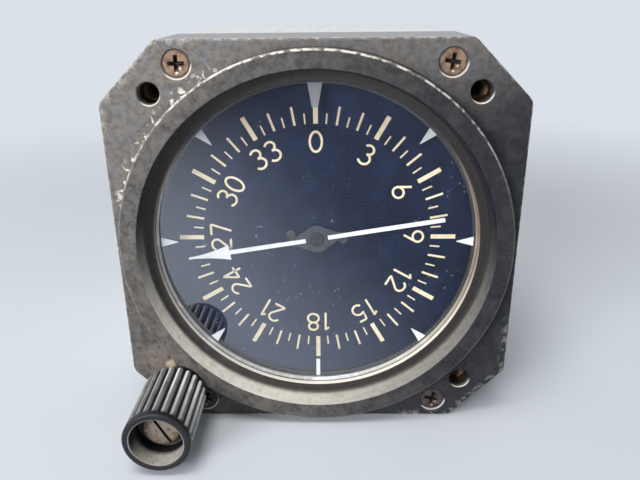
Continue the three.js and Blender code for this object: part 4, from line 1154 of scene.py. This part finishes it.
# %% Pointer arms
POINTER_HEADING = 261.0
POINTER_FRONT = 4.8
ARM_REAR = 5.0
POINTER_REAR = 5.2
TIP, BASE, BAR = 28.05, 19.05, 0.47
WAIST_TIP, WAIST_BASE, WAIST_HOLLOW = 0.2, 1.68, 1.75
ARM_START = 2.4
TAIL_END = 27.4
waist = [
    (BASE + (TIP - BASE) * t, WAIST_TIP + (WAIST_BASE - WAIST_TIP) * (1 - t) ** WAIST_HOLLOW)
    for t in (i / 10 for i in range(11))
]
arrow = mirrored([(ARM_START, BAR), (BASE, BAR)] + waist + [(TIP + 0.12, 0.08)])
tail = mirrored([(-TAIL_END, 0.2), (-TAIL_END + 0.15, BAR), (-ARM_START, BAR)])
arms = Shape([], [])
for outline in (arrow, tail):
    arms += plate(on_dial(outline, POINTER_HEADING), POINTER_FRONT, ARM_REAR)
piece("pointer_arms", arms, marking_white, "pointer", ["pointer"])

# %% Pointer hub and shaft
HUB_RADIUS = 3.0
hub_paint = plain("hub_paint", (0.03, 0.032, 0.043), (0.05, 0.053, 0.068), 0.9, 0.01, (0.42, 0.6))
flare = [(9.0, BAR * 0.9), (6.5, BAR + 0.05), (5.0, 0.75), (4.0, 1.15), (3.2, 1.75)]
disc = arc(0, 0, HUB_RADIUS, HUB_RADIUS, 45, 135, 12)
hub_outline = mirrored(flare + disc + [(-u, v) for u, v in reversed(flare)])
hub = milled(
    plate(on_dial(hub_outline, POINTER_HEADING), POINTER_FRONT + 0.05, POINTER_REAR, 0.05),
    cuts=[rod(1.25, 4, 6, 32)],
)
piece("pointer_hub_plate", hub, hub_paint, "pointer")
black_steel = plain(
    "blackened_steel", (0.018, 0.018, 0.02), (0.05, 0.048, 0.048), 2.0, 0.01, (0.35, 0.55), 0.6
)
shaft = turned(
    [(0, 4.5), (0.9, 4.5), (1.45, 4.56), (1.6, 4.7), (1.6, 4.84), (1.2, 4.84), (1.2, 30),
     (0, 30)], 48,
)
piece("rotor_shaft_and_cap", shaft, black_steel, "pointer", ["rotor_shaft"])

# %% [markdown]
# ## Setting knob
# The knob is a deep black cup. Its side has 22 broad ridges with narrow valleys, which run out
# before a smooth band at the mouth. A lathe would turn the blank, and a milling cutter would then
# sink the valleys, so the recipe does the same: each corner of the blank moves towards the axis
# by a rule on its angle. How far it may move is a number that the blank carries, 0 on the band
# and in the cup and 1 on the gripping side. Fingers have rubbed the ridges to a dull grey, and a
# painted highlight lies on each ridge's left flank, brightest towards the rear. Pale dust lies low
# in the cup, near its mouth, where the pale tone is also painted light, and a painted highlight
# lies on the lower side of the cup's rim.

# %% Knob finish
KNOB_RADIUS = 6.8
KNOB_FRONT = -20.4
KNOB_REAR = -3.4
KNOB_FLOOR = -14.2
FLUTES = 22
knob_plastic = Finish("knob_plastic", (0.035, 0.036, 0.038), 0.42, specular=0.3)
right = knob_plastic.x - KNOB_AXIS[0]
above = knob_plastic.height - KNOB_AXIS[1]
depth = knob_plastic.depth
on_ridge = knob_plastic.length(right, above)
knob_grain = knob_plastic.noise(1.6, 4.0)
rubbed = knob_plastic.noise(0.9, 4.0, stretch=(1, 0.3, 1))
gripped = depth.ease(KNOB_FRONT + 1.0, KNOB_FRONT + 2.2)
ridge_wear = on_ridge.ease(6.35, 6.62) * gripped * rubbed.ease(0.25, 0.6, 0.45, 1.0)
# A painted highlight on the ridges' left flanks, over wear, brightest towards the rear.
edge_wear_and_highlight = on_ridge.ease(6.25, 6.5) * on_ridge.ease(6.84, 6.74) * gripped * (
    depth.ease(-18.0, -6.0, 0.35, 1.0) * rubbed.ease(0.22, 0.5, 0.5, 1.0)
)
angle = knob_plastic.math("ARCTAN2", right, above)
highlight_flank = knob_plastic.math("SINE", angle * FLUTES).ease(-0.15, -0.8)
# The cup's lower wall is painted pale: dust, and painted light on a face that looks up.
cup_dust_and_light = on_ridge.ease(5.51, 5.41) * above.ease(-0.5, -4.0) * depth.ease(-16.3, -17.6)
# A painted highlight on the lower side of the cup's rim.
cup_rim_highlight = on_ridge.ease(5.34, 5.41) * on_ridge.ease(5.64, 5.52) * (
    depth.ease(KNOB_FRONT + 0.5, KNOB_FRONT + 0.2) * above.ease(-4.5, -1.0)
)
knob_plastic.set("Base Color", layered(
    knob_grain.blend((0.006, 0.006, 0.008), (0.017, 0.017, 0.021)),
    (cup_dust_and_light * knob_grain.ease(0.25, 0.55, 0.55, 1.0), (0.33, 0.315, 0.275)),
    (ridge_wear * 0.85, (0.25, 0.253, 0.246)),
    (edge_wear_and_highlight * highlight_flank, (0.85, 0.845, 0.82)),
    (cup_rim_highlight * 0.8, (0.4, 0.4, 0.38)),
))
knob_plastic.set("Roughness", knob_grain.ease(0.3, 0.7, 0.34, 0.55))
knob_plastic.bump(knob_grain, 0.04)
print("nodes in the knob's finish:", len(knob_plastic.tree.nodes))

# %% Knob recipe
CUT = 0.62
NARROWNESS = 3.4
fluting = Recipe("fluting", Flutes=FLUTES, Cut=CUT, AxisX=0.0, AxisHeight=0.0)
spot_x, _, spot_height = fluting.parts(fluting.add("GeometryNodeInputPosition"))
across = spot_x - fluting["AxisX"]
up = spot_height - fluting["AxisHeight"]
wave = abs(fluting.math("SINE", fluting.math("ARCTAN2", across, up) * fluting["Flutes"] * 0.5))
valley = fluting.math("POWER", wave, NARROWNESS)
allowed = fluting.add("GeometryNodeInputNamedAttribute", inputs={"Name": "allowed"})
shift = fluting["Cut"] * valley * allowed / fluting.length(across, up) * -1
fluting.end(fluting.add("GeometryNodeSetPosition", inputs={
    "Geometry": fluting["Shape"], "Offset": fluting.vector(across * shift, 0, up * shift),
}))
print("fluting takes", list(fluting.keys))

# %% Knob
COLUMNS = 16 * FLUTES
BAND = 1.1
RUN_OUT = 0.7
CUP_WALL = 0.4


def knob_cut(corner):
    """How far the cutter may sink at a corner: nothing within the cup, and a smooth run-out
    towards the mouth's band."""
    if math.dist((corner.x, corner.z), KNOB_AXIS) < KNOB_RADIUS - CUP_WALL:
        return 0.0
    run = min(max((corner.y - KNOB_FRONT - BAND) / RUN_OUT, 0.0), 1.0)
    return run * run * (3 - 2 * run)


side = [(KNOB_RADIUS, KNOB_FRONT + d) for d in
        (0.5, 0.8, 1.1, 1.2, 1.3, 1.4, 1.5, 1.6, 1.7, 1.8, 3, 5, 7, 9, 11, 13, 15, 16, 16.75)]
knob_profile = (
    [(5.26, KNOB_FLOOR - 0.5), (5.26, -16.9), (5.36, -17.0), (5.36, KNOB_FRONT + 0.4),
     (5.44, KNOB_FRONT + 0.12), (5.64, KNOB_FRONT)]
    + rounded(KNOB_RADIUS, KNOB_FRONT, 0.45, -1)
    + side
    + [(KNOB_RADIUS - 0.12, KNOB_REAR), (KNOB_RADIUS - 0.7, KNOB_REAR), (4.2, KNOB_REAR),
       (4.2, -6.0), (1.63, -6.0), (1.63, KNOB_FLOOR), (5.0, KNOB_FLOOR), (5.26, KNOB_FLOOR - 0.14)]
)
knob_blank = turned(knob_profile, COLUMNS, *KNOB_AXIS).mesh()
knob_blank.attributes.new("allowed", "FLOAT", "POINT").data.foreach_set(
    "value", [knob_cut(corner.co) for corner in knob_blank.vertices]
)
knob = fluting.make(knob_plastic, knob_blank, AxisX=KNOB_AXIS[0], AxisHeight=KNOB_AXIS[1])
piece("fluted_knob", knob, knob_plastic, "knob", ["knob"], angle=50)

# %% [markdown]
# ## Screw in the knob, and the bushing
# The cheese-head screw at the bottom of the cup is old steel, with brown rust in patches and
# towards its edge, and its slot is painted nearly black as shade. A brass bushing carries the
# shaft through the flange.

# %% Knob screw
SLOT_TURN = -29
SCREW_FACE = -16.0
rusty_steel = Finish("rusty_steel", (0.3, 0.24, 0.21), 0.45, 0.7)
by_edge = rusty_steel.reach(*KNOB_AXIS).ease(1.8, 3.6)
rust = (rusty_steel.noise(0.9, 4.0) + by_edge * 0.12).ease(0.55, 0.68)
rusty_steel.set("Base Color", layered(
    (rust * 0.85).blend((0.26, 0.225, 0.195), (0.15, 0.085, 0.045)),
    # The slot is painted nearly black: painted shade in the recess.
    (rusty_steel.depth.ease(-15.85, -15.5), (0.02, 0.012, 0.008)),
))
rusty_steel.set("Metallic", rust.ease(0, 1, 0.45, 0.2))
rusty_steel.set("Roughness", rust.ease(0, 1, 0.38, 0.7))
rusty_steel.bump(rusty_steel.noise(4.0, 2.0), 0.02)
cheese_blank = turned(
    [(0, SCREW_FACE - 0.1), (2.4, SCREW_FACE - 0.06)]
    + rounded(3.8, SCREW_FACE, 0.45, -1, steps=4)
    + [(3.8, KNOB_FLOOR), (0.9, KNOB_FLOOR), (0.9, -9.2), (0, -9.2)], 64,
)
slotted_screws(
    "knob_cheese_head", rusty_steel, "knob", ["knob_screw"],
    [(*KNOB_AXIS, SLOT_TURN)], cheese_blank, SCREW_FACE, 0.9, 0.6,
)

# %% Bushing
brass = plain("brass", (0.3, 0.2, 0.08), (0.6, 0.44, 0.19), 0.9, 0.015, (0.3, 0.55), 0.9)
bushing = turned(
    [(1.68, -0.7), (1.8, -0.8), (2.85, -0.8), (3.05, -0.7), (3.1, -0.55), (3.1, 0), (2.6, 0),
     (2.6, 6.5), (1.68, 6.5)], 48, *KNOB_AXIS,
)
piece("brass_bushing", bushing, brass, "housing", ["knob_bushing"])

# %% [markdown]
# ## Bezel screws
# Four flat-head screws hold the bezel. The upper two have lost their blacking and show bronze,
# and the lower two are still dark. The heads are browned at the rim, and the recess is dirty and
# painted near-black as shade. Two spots by the recess are bared by the driver's tip and carry a
# painted highlight. A cross recess is two tapered slots and a point between them. The recipe
# turns the head from its radii, cuts the recess and puts a copy at each place.

# %% Crossed screw recipe
crossed = Recipe("crossed screws", Head=2.55, Shank=1.38, Sunk=0.15, Cone=1.5, Length=19.8,
                 Span=3.5, Slot=0.84, Recess=1.2)
sunk, recess, slot = crossed["Sunk"], crossed["Recess"], crossed["Slot"]
cone = crossed.add("GeometryNodeMeshCone", inputs={
    "Vertices": 48, "Radius Top": crossed["Head"], "Radius Bottom": crossed["Shank"],
    "Depth": crossed["Cone"],
})
stem = crossed.add("GeometryNodeMeshCylinder", inputs={
    "Vertices": 48, "Radius": crossed["Shank"] * 0.999, "Depth": crossed["Length"],
})
solid = crossed.add("GeometryNodeMeshBoolean", {"operation": "UNION", "solver": "EXACT"}, {
    "Mesh 2": [
        crossed.along(cone, sunk + crossed["Cone"], QUARTER),
        crossed.along(stem, sunk + crossed["Length"] * 0.5 + 0.4, QUARTER),
    ],
})
print("crossed screws take", list(crossed.keys))

# %% Cross recess
wedge = crossed.add("GeometryNodeMeshCone", inputs={
    "Vertices": 4, "Radius Top": math.sqrt(0.5), "Radius Bottom": 0.4 * math.sqrt(0.5),
    "Depth": recess + 0.1,
})
wedge = crossed.along(wedge, 0.0, (0, 0, math.pi / 4))
point = crossed.add("GeometryNodeMeshCone", inputs={
    "Vertices": 16, "Radius Top": slot * 0.85, "Radius Bottom": slot * 0.3,
    "Depth": recess + 0.15,
})
blades = [
    crossed.along(wedge, sunk + recess, QUARTER, crossed.vector(width, length, 1.0))
    for width, length in ((crossed["Span"], slot), (slot, crossed["Span"]))
]
blades.append(crossed.along(point, sunk + recess + 0.04, QUARTER))
recessed = crossed.add("GeometryNodeMeshBoolean", {"operation": "DIFFERENCE", "solver": "EXACT"},
                       {"Mesh 1": solid, "Mesh 2": blades})
crossed.end(crossed.copies(recessed))
print("nodes in the screw recipe:", len(crossed.tree.nodes))

# %% Bezel screws
def screw_coat(name, places, low, high, bare_and_highlight):
    """A coat dark at the head's rim, dirty and painted with shade in the recess, and bared by the
    driver's tip, with painted highlights.
    """
    coat = Finish(name, low, 0.42, 0.35, specular=0.3)

    def gap(right, up):
        """Distance from the nearer of two places, one on each head."""
        first, second = (coat.reach(x + right, height + up) for x, height in places)
        return first.least(second)

    patches = coat.noise(0.6, 4.0).ease(0.32, 0.68)
    grain = coat.noise(2.2, 3.0) * 0.5
    # The glints are painted highlights on two spots bared by the driver's tip.
    glint = (gap(0.75, -0.85) + grain).most(gap(0.75, -0.85) * 1.1).ease(0.62, 0.3)
    glint = glint.most((gap(0.05, -1.75) + grain).ease(0.66, 0.3))
    # Dirt and painted shade in the recess.
    recess_dirt_and_shade = coat.depth.ease(0.2, 0.5)
    coat.set("Base Color", layered(
        patches.blend(low, high),
        (gap(0, 0).ease(2.1, 2.5) * 0.6, (0.04, 0.024, 0.018)),
        (glint * 0.7, bare_and_highlight),
        (recess_dirt_and_shade, (0.012, 0.009, 0.007)),
    ))
    coat.set("Roughness", patches.ease(0, 1, 0.38, 0.5))
    coat.set("Metallic", recess_dirt_and_shade.ease(0, 1, 0.35, 0.0))
    coat.bump(coat.noise(4.0, 2.0), 0.02)
    return coat


TURNS = [0, 8, 14, 30]
screw_spots = [(*place, turn) for place, turn in zip(SCREW_PLACES, TURNS)]
screw_nodes = corner_nodes("bezel_screw")
screw_sets = [
    ("upper_bezel_screws", "screw_bronze", slice(0, 2),
     ((0.125, 0.074, 0.05), (0.3, 0.195, 0.135), (0.8, 0.66, 0.5))),
    ("lower_bezel_screws", "dark_screw", slice(2, 4),
     ((0.035, 0.029, 0.029), (0.1, 0.08, 0.077), (0.5, 0.42, 0.36))),
]
for name, coat_name, two, tones in screw_sets:
    coat = screw_coat(coat_name, SCREW_PLACES[two], *tones)
    screws = crossed.make(coat, places=screw_spots[two])
    piece(name, screws, coat, "housing", screw_nodes[two], bevel=0.05)

# %% [markdown]
# ## Threaded inserts
# Behind each of the three mounting holes sits a brass insert. Its thread is a ridge of triangular
# section that follows a spiral, so the recipe sweeps a three-sided profile along one.

# %% Thread recipe
THREAD_RADIUS = 1.78
thread = Recipe("inner thread", Radius=THREAD_RADIUS, Pitch=0.8, Rounds=9, Start=3.6, Tooth=0.3)
rounds = thread.add("GeometryNodeCurveSpiral", inputs={
    "Resolution": 28, "Rotations": thread["Rounds"], "Start Radius": thread["Radius"],
    "End Radius": thread["Radius"], "Height": thread["Pitch"] * thread["Rounds"],
})
tooth = thread.add("GeometryNodeCurvePrimitiveCircle", inputs={
    "Resolution": 3, "Radius": thread["Tooth"],
})
ridge = thread.add("GeometryNodeCurveToMesh", inputs={
    "Curve": thread.add("GeometryNodeSetCurveNormal", {"mode": "Z_UP"}, {"Curve": rounds}),
    "Profile Curve": tooth, "Fill Caps": True,
})
ridge = thread.along(ridge, thread["Start"], (-math.pi / 2, 0, 0))
thread.end(thread.copies(thread.add("GeometryNodeJoinGeometry", inputs={
    0: [ridge, thread["Shape"]],
})))
insert_blank = turned(
    [(THREAD_RADIUS, 3.5), (2.1, 2.22), (2.75, 2.2), (2.85, 2.3), (2.85, 11.6), (2.75, 11.7),
     (2.05, 11.7), (THREAD_RADIUS, 11.4)], 48,
)
# Dark old brass, painted darker still as the shade inside the holes.
dark_brass = plain(
    "dark_brass", (0.01, 0.007, 0.004), (0.11, 0.06, 0.025), 1.2, 0.015, (0.4, 0.6), 0.6
)
insert_places = [(*place, 40 * i) for i, place in enumerate(MOUNT_PLACES)]
inserts = thread.make(dark_brass, insert_blank, insert_places)
piece("threaded_inserts", inserts, dark_brass, "housing", corner_nodes("mounting_insert")[:3],
      angle=50)

# %% [markdown]
# ## Case can
# The can is deep-drawn aluminium with a satin finish. It follows the casting's outline, and its
# rear edge curls over with a large round. The loft runs along the outside to the rear, and a
# second one, smaller by the wall, is cut out of it. One hole in the rear face lets the connector
# through.

# %% Can finish
can_satin = Finish("aluminium", (0.68, 0.685, 0.7), 0.6, 0.12, specular=0.15)
on_rear = can_satin.depth.ease(59.6, 59.95)
drawn = can_satin.noise(1.3, 4.0, stretch=(1, 0.04, 1))
brushed = can_satin.noise(2.6, 3.0, stretch=(0.03, 1, 1))
lines = drawn + (brushed - drawn) * on_rear
can_satin.set("Base Color", lines.ease(0.3, 0.7).blend((0.62, 0.63, 0.642), (0.69, 0.695, 0.71)))
can_satin.set("Roughness", lines.ease(0.3, 0.7, 0.62, 0.74))
can_satin.bump(lines, 0.012)
print("nodes in the can's finish:", len(can_satin.tree.nodes))

# %% Can
CAN_REAR = 60.0
CAN_WALL = 1.2
CAN_INSET = 0.15
CAN_CORNER = 2.4
CURL_OUTSIDE, CURL_INSIDE = 3.2, 2.0
CURL_STEPS = 8
SHELL_HOLE = 9.35


def can_layers(inset, curl, front, rear):
    """Outlines of the can from its front to its rear face, where the wall curls inwards."""
    corner = CAN_CORNER + inset * TANGENT_SHARE
    layers = [(front, case_outline(inset, corner))]
    for step in range(CURL_STEPS + 1):
        turn = math.pi / 2 * step / CURL_STEPS
        here = inset + curl * (1 - math.cos(turn))
        layers.append((rear - curl * (1 - math.sin(turn)), case_outline(here, corner)))
    return layers


can = milled(lofted(can_layers(CAN_INSET, CURL_OUTSIDE, CASTING_REAR, CAN_REAR)), cuts=[
    lofted(can_layers(CAN_INSET + CAN_WALL, CURL_INSIDE, 10, CAN_REAR - CAN_WALL)),
    rod(SHELL_HOLE, 50, 65, 64),
])
piece("drawn_can", can, can_satin, "housing", ["case_can"])

# %% Rear screws
REAR_REACH = 26.975
REAR_SCREW_FACE = CAN_REAR + 1.5
steel = plain("steel", (0.42, 0.42, 0.41), (0.54, 0.54, 0.53), 0.6, 0.006, (0.28, 0.42), 0.85)
rear_places = corner_places(REAR_REACH, REAR_REACH)
slotted_screws(
    "rear_screws", steel, "housing", corner_nodes("rear_screw"),
    [(*place, 35 * i) for i, place in enumerate(rear_places)],
    round_head(CAN_REAR, REAR_SCREW_FACE, 2.5, 1.2, 53.1), REAR_SCREW_FACE, 0.75, 0.8,
)

# %% [markdown]
# ## Connector
# A round connector stands on the rear face. Its shell has a square flange, two ribs for the grip
# of a gland, and three lugs that a coupling ring locks on. The insert is dark phenolic with
# fourteen brass sockets in two circles. A second use of the copying recipe sets the sockets.

# %% Connector shell
SHELL_BORE, INSERT_BORE, BORE_STEP = 7.9, 9.0, 61.6
FLANGE_REAR = CAN_REAR + 1.6
anodised = plain(
    "connector_shell", (0.27, 0.275, 0.262), (0.34, 0.345, 0.33), 0.35, 0.006, (0.34, 0.44), 0.8
)
flange = lofted([
    (CAN_REAR, clipped_square(13, 2, 1.0)), (CAN_REAR + 1.35, clipped_square(13, 2, 1.0)),
    (FLANGE_REAR, clipped_square(12.75, 1.9, 0.9)),
])
barrel = turned([
    (SHELL_BORE, 56.4), (9.3, 56.4), (9.3, 60.8), (10.4, 60.8), (10.4, 62.5), (10.9, 62.6),
    (10.9, 63.3), (10.4, 63.4), (10.4, 64.3), (10.9, 64.4), (10.9, 65.1), (10.4, 65.2),
    (10.4, 71.6), (10.2, 71.95), (9.9, 72), (9.2, 72), (INSERT_BORE, 71.8),
    (INSERT_BORE, BORE_STEP), (SHELL_BORE, BORE_STEP),
], 96)
lug = turned([(0, 0), (0.9, 0), (0.9, 1.7), (0.75, 1.85), (0, 1.85)], 24)
lug = Shape([(x, z + 68.8, 9.25 + d) for x, d, z in lug.corners], lug.faces)
lugs = copying.make(anodised, lug, [(0, 0, 120 * i) for i in range(3)])
shell = milled(flange, joins=[barrel, lugs], cuts=[
    rod(SHELL_BORE, 50, BORE_STEP, 64), rod(INSERT_BORE, BORE_STEP, 75, 64)
])
piece("connector_body", shell, anodised, "housing", ["connector_shell"], bevel=0.06)

# %% Connector insert and sockets
phenolic = plain(
    "phenolic", (0.014, 0.011, 0.01), (0.035, 0.027, 0.022), 0.9, 0.01, (0.32, 0.5)
)
socket_places = [
    (*on_dial([(circle, 0)], 360 * (i + 0.25) / count)[0], 0)
    for count, circle in ((5, 3.3), (9, 6.6)) for i in range(count)
]
core = turned([(0, 56.0), (7.85, 56.0), (7.85, 61.65), (8.95, 61.65), (8.95, 65.85), (8.8, 66),
               (0, 66)], 64)
holes = copying.make(phenolic, rod(0.8, 64.2, 67, 24), socket_places)
piece("insert_core", milled(core, cuts=[holes]), phenolic, "housing", ["connector_insert"])
sleeve = turned([(0.45, 65.75), (0.5, 65.82), (0.7, 65.82), (0.75, 65.75), (0.75, 64.25),
                 (0.45, 64.25)], 24)
sockets = copying.make(brass, sleeve, socket_places)
piece("brass_sockets", sockets, brass, "housing")

# %% Connector screws
CONNECTOR_REACH = 10.3
CONNECTOR_SCREW_FACE = FLANGE_REAR + 1.1
connector_places = corner_places(CONNECTOR_REACH, CONNECTOR_REACH)
slotted_screws(
    "connector_screws", steel, "housing", corner_nodes("connector_screw"),
    [(*place, 60 * i) for i, place in enumerate(connector_places)],
    round_head(FLANGE_REAR, CONNECTOR_SCREW_FACE, 1.9, 0.95, 57.6, 32), CONNECTOR_SCREW_FACE,
    0.55, 0.6,
)

# %% [markdown]
# ## What the case hides
# The gears, the plate, the standoffs and the synchro keep the shapes that the frame has, since
# nobody sees them with the case closed. Each gets the finish of its metal all the same.

# %% Finishes of the inner pieces
inner = {
    "glass_retainer": black_steel, "gear_plate": can_satin, "standoff": can_satin,
    "card_post": steel, "card_hub": brass, "card_gear": brass, "pointer_hub": brass,
    "idler_gear": brass, "idler_stud": steel, "idler_clip": steel, "post_screw": steel,
    "knob_pinion_shaft": steel, "knob_shaft_clip": steel, "synchro_housing": can_satin,
    "synchro_terminal_block": phenolic, "synchro_clamp": steel, "clamp_screw": steel,
    "rotor_bearing": steel,
}
dressed = 0
for name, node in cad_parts.items():
    for start, metal in inner.items():
        if name.startswith(start):
            node.data.materials.clear()
            node.data.materials.append(metal.material)
            dressed += 1
print("inner pieces dressed:", dressed)

# %% [markdown]
# ## Floor and light
# The floor is a plain pale sheet, which glows in the backdrop's own colour further out, so that it
# ends without a horizon. A small soft lamp hangs above, in front and a little to the left, and
# brightens every face that looks up. A stronger one stands further off on the left front and
# shapes the bezel. The world fills the shadows. Camera, mirror and glass rays see it at its full
# pale colour, while its light on the object stays at three tenths.

# %% Floor
FAR_COLOUR = (0.71, 0.75, 0.81)
GLOW_FROM, GLOW_FULL = 150.0, 420.0
FLOOR_HALF = 40.0
floor_paint = plain(
    "pale_floor", (0.605, 0.645, 0.695), (0.625, 0.665, 0.715), 0.01, 0.0, (0.55, 0.65)
)


def seen_straight(graph):
    """1 for rays from the camera, a mirror or a glass, and 0 for rays that carry light."""
    rays = graph.add("ShaderNodeLightPath").socket.node.outputs
    wires = [Wire(graph, rays[f"Is {kind} Ray"]) for kind in ("Camera", "Glossy", "Transmission")]
    return wires[0].most(wires[1]).most(wires[2])


away = floor_paint.length(floor_paint.x, floor_paint.depth)
glow = floor_paint.add("ShaderNodeEmission", inputs={"Color": (*FAR_COLOUR, 1), "Strength": 1.0})
floor_paint.show(floor_paint.add("ShaderNodeMixShader", inputs={
    0: away.ease(GLOW_FROM, GLOW_FULL) * seen_straight(floor_paint),
    1: Wire(floor_paint, floor_paint.shader.outputs[0]), 2: glow,
}))
floor_mesh = bpy.data.meshes.new("floor")
floor_mesh.from_pydata(
    [(x * FLOOR_HALF, y * FLOOR_HALF, 0) for x, y in ((-1, -1), (1, -1), (1, 1), (-1, 1))], [],
    [(0, 1, 2, 3)],
)
floor_mesh.materials.append(floor_paint.material)
floor = as_object(floor_mesh)
floor.name = "floor"
print("floor in metres:", tuple(floor.dimensions))

# %% World
WORLD_LIGHT = 0.3
world = bpy.data.worlds.new("studio")
world.use_nodes = True
bpy.context.scene.world = world
sky = Graph(world.node_tree)
background = world.node_tree.nodes["Background"]
seen = seen_straight(sky)
sky.put(background.inputs["Color"], seen.blend((0.97, 0.98, 1.0), FAR_COLOUR))
sky.put(background.inputs["Strength"], seen * (1 - WORLD_LIGHT) + WORLD_LIGHT)
print("nodes in the world:", len(world.node_tree.nodes))

# %% Lamps
def softbox(name, place, aim, size, power, colour=(1, 1, 1)):
    """A square area lamp at a place in metres that looks at another place."""
    lamp = bpy.data.lights.new(name, "AREA")
    lamp.shape = "SQUARE"
    lamp.size = size
    lamp.energy = power
    lamp.color = colour
    thing = bpy.data.objects.new(name, lamp)
    bpy.context.scene.collection.objects.link(thing)
    turn = (Vector(aim) - Vector(place)).to_track_quat("-Z", "Y")
    thing.matrix_world = Matrix.Translation(place) @ turn.to_matrix().to_4x4()


softbox("overhead", (-0.12, -0.26, 0.74), (0, -0.02, 0.04), 0.35, 3.5, (1, 0.99, 0.97))
softbox("front_left", (-0.75, -1.125, 0.46), (0, 0, 0.04), 0.6, 18.0)
print("lamps:", len(bpy.data.lights))
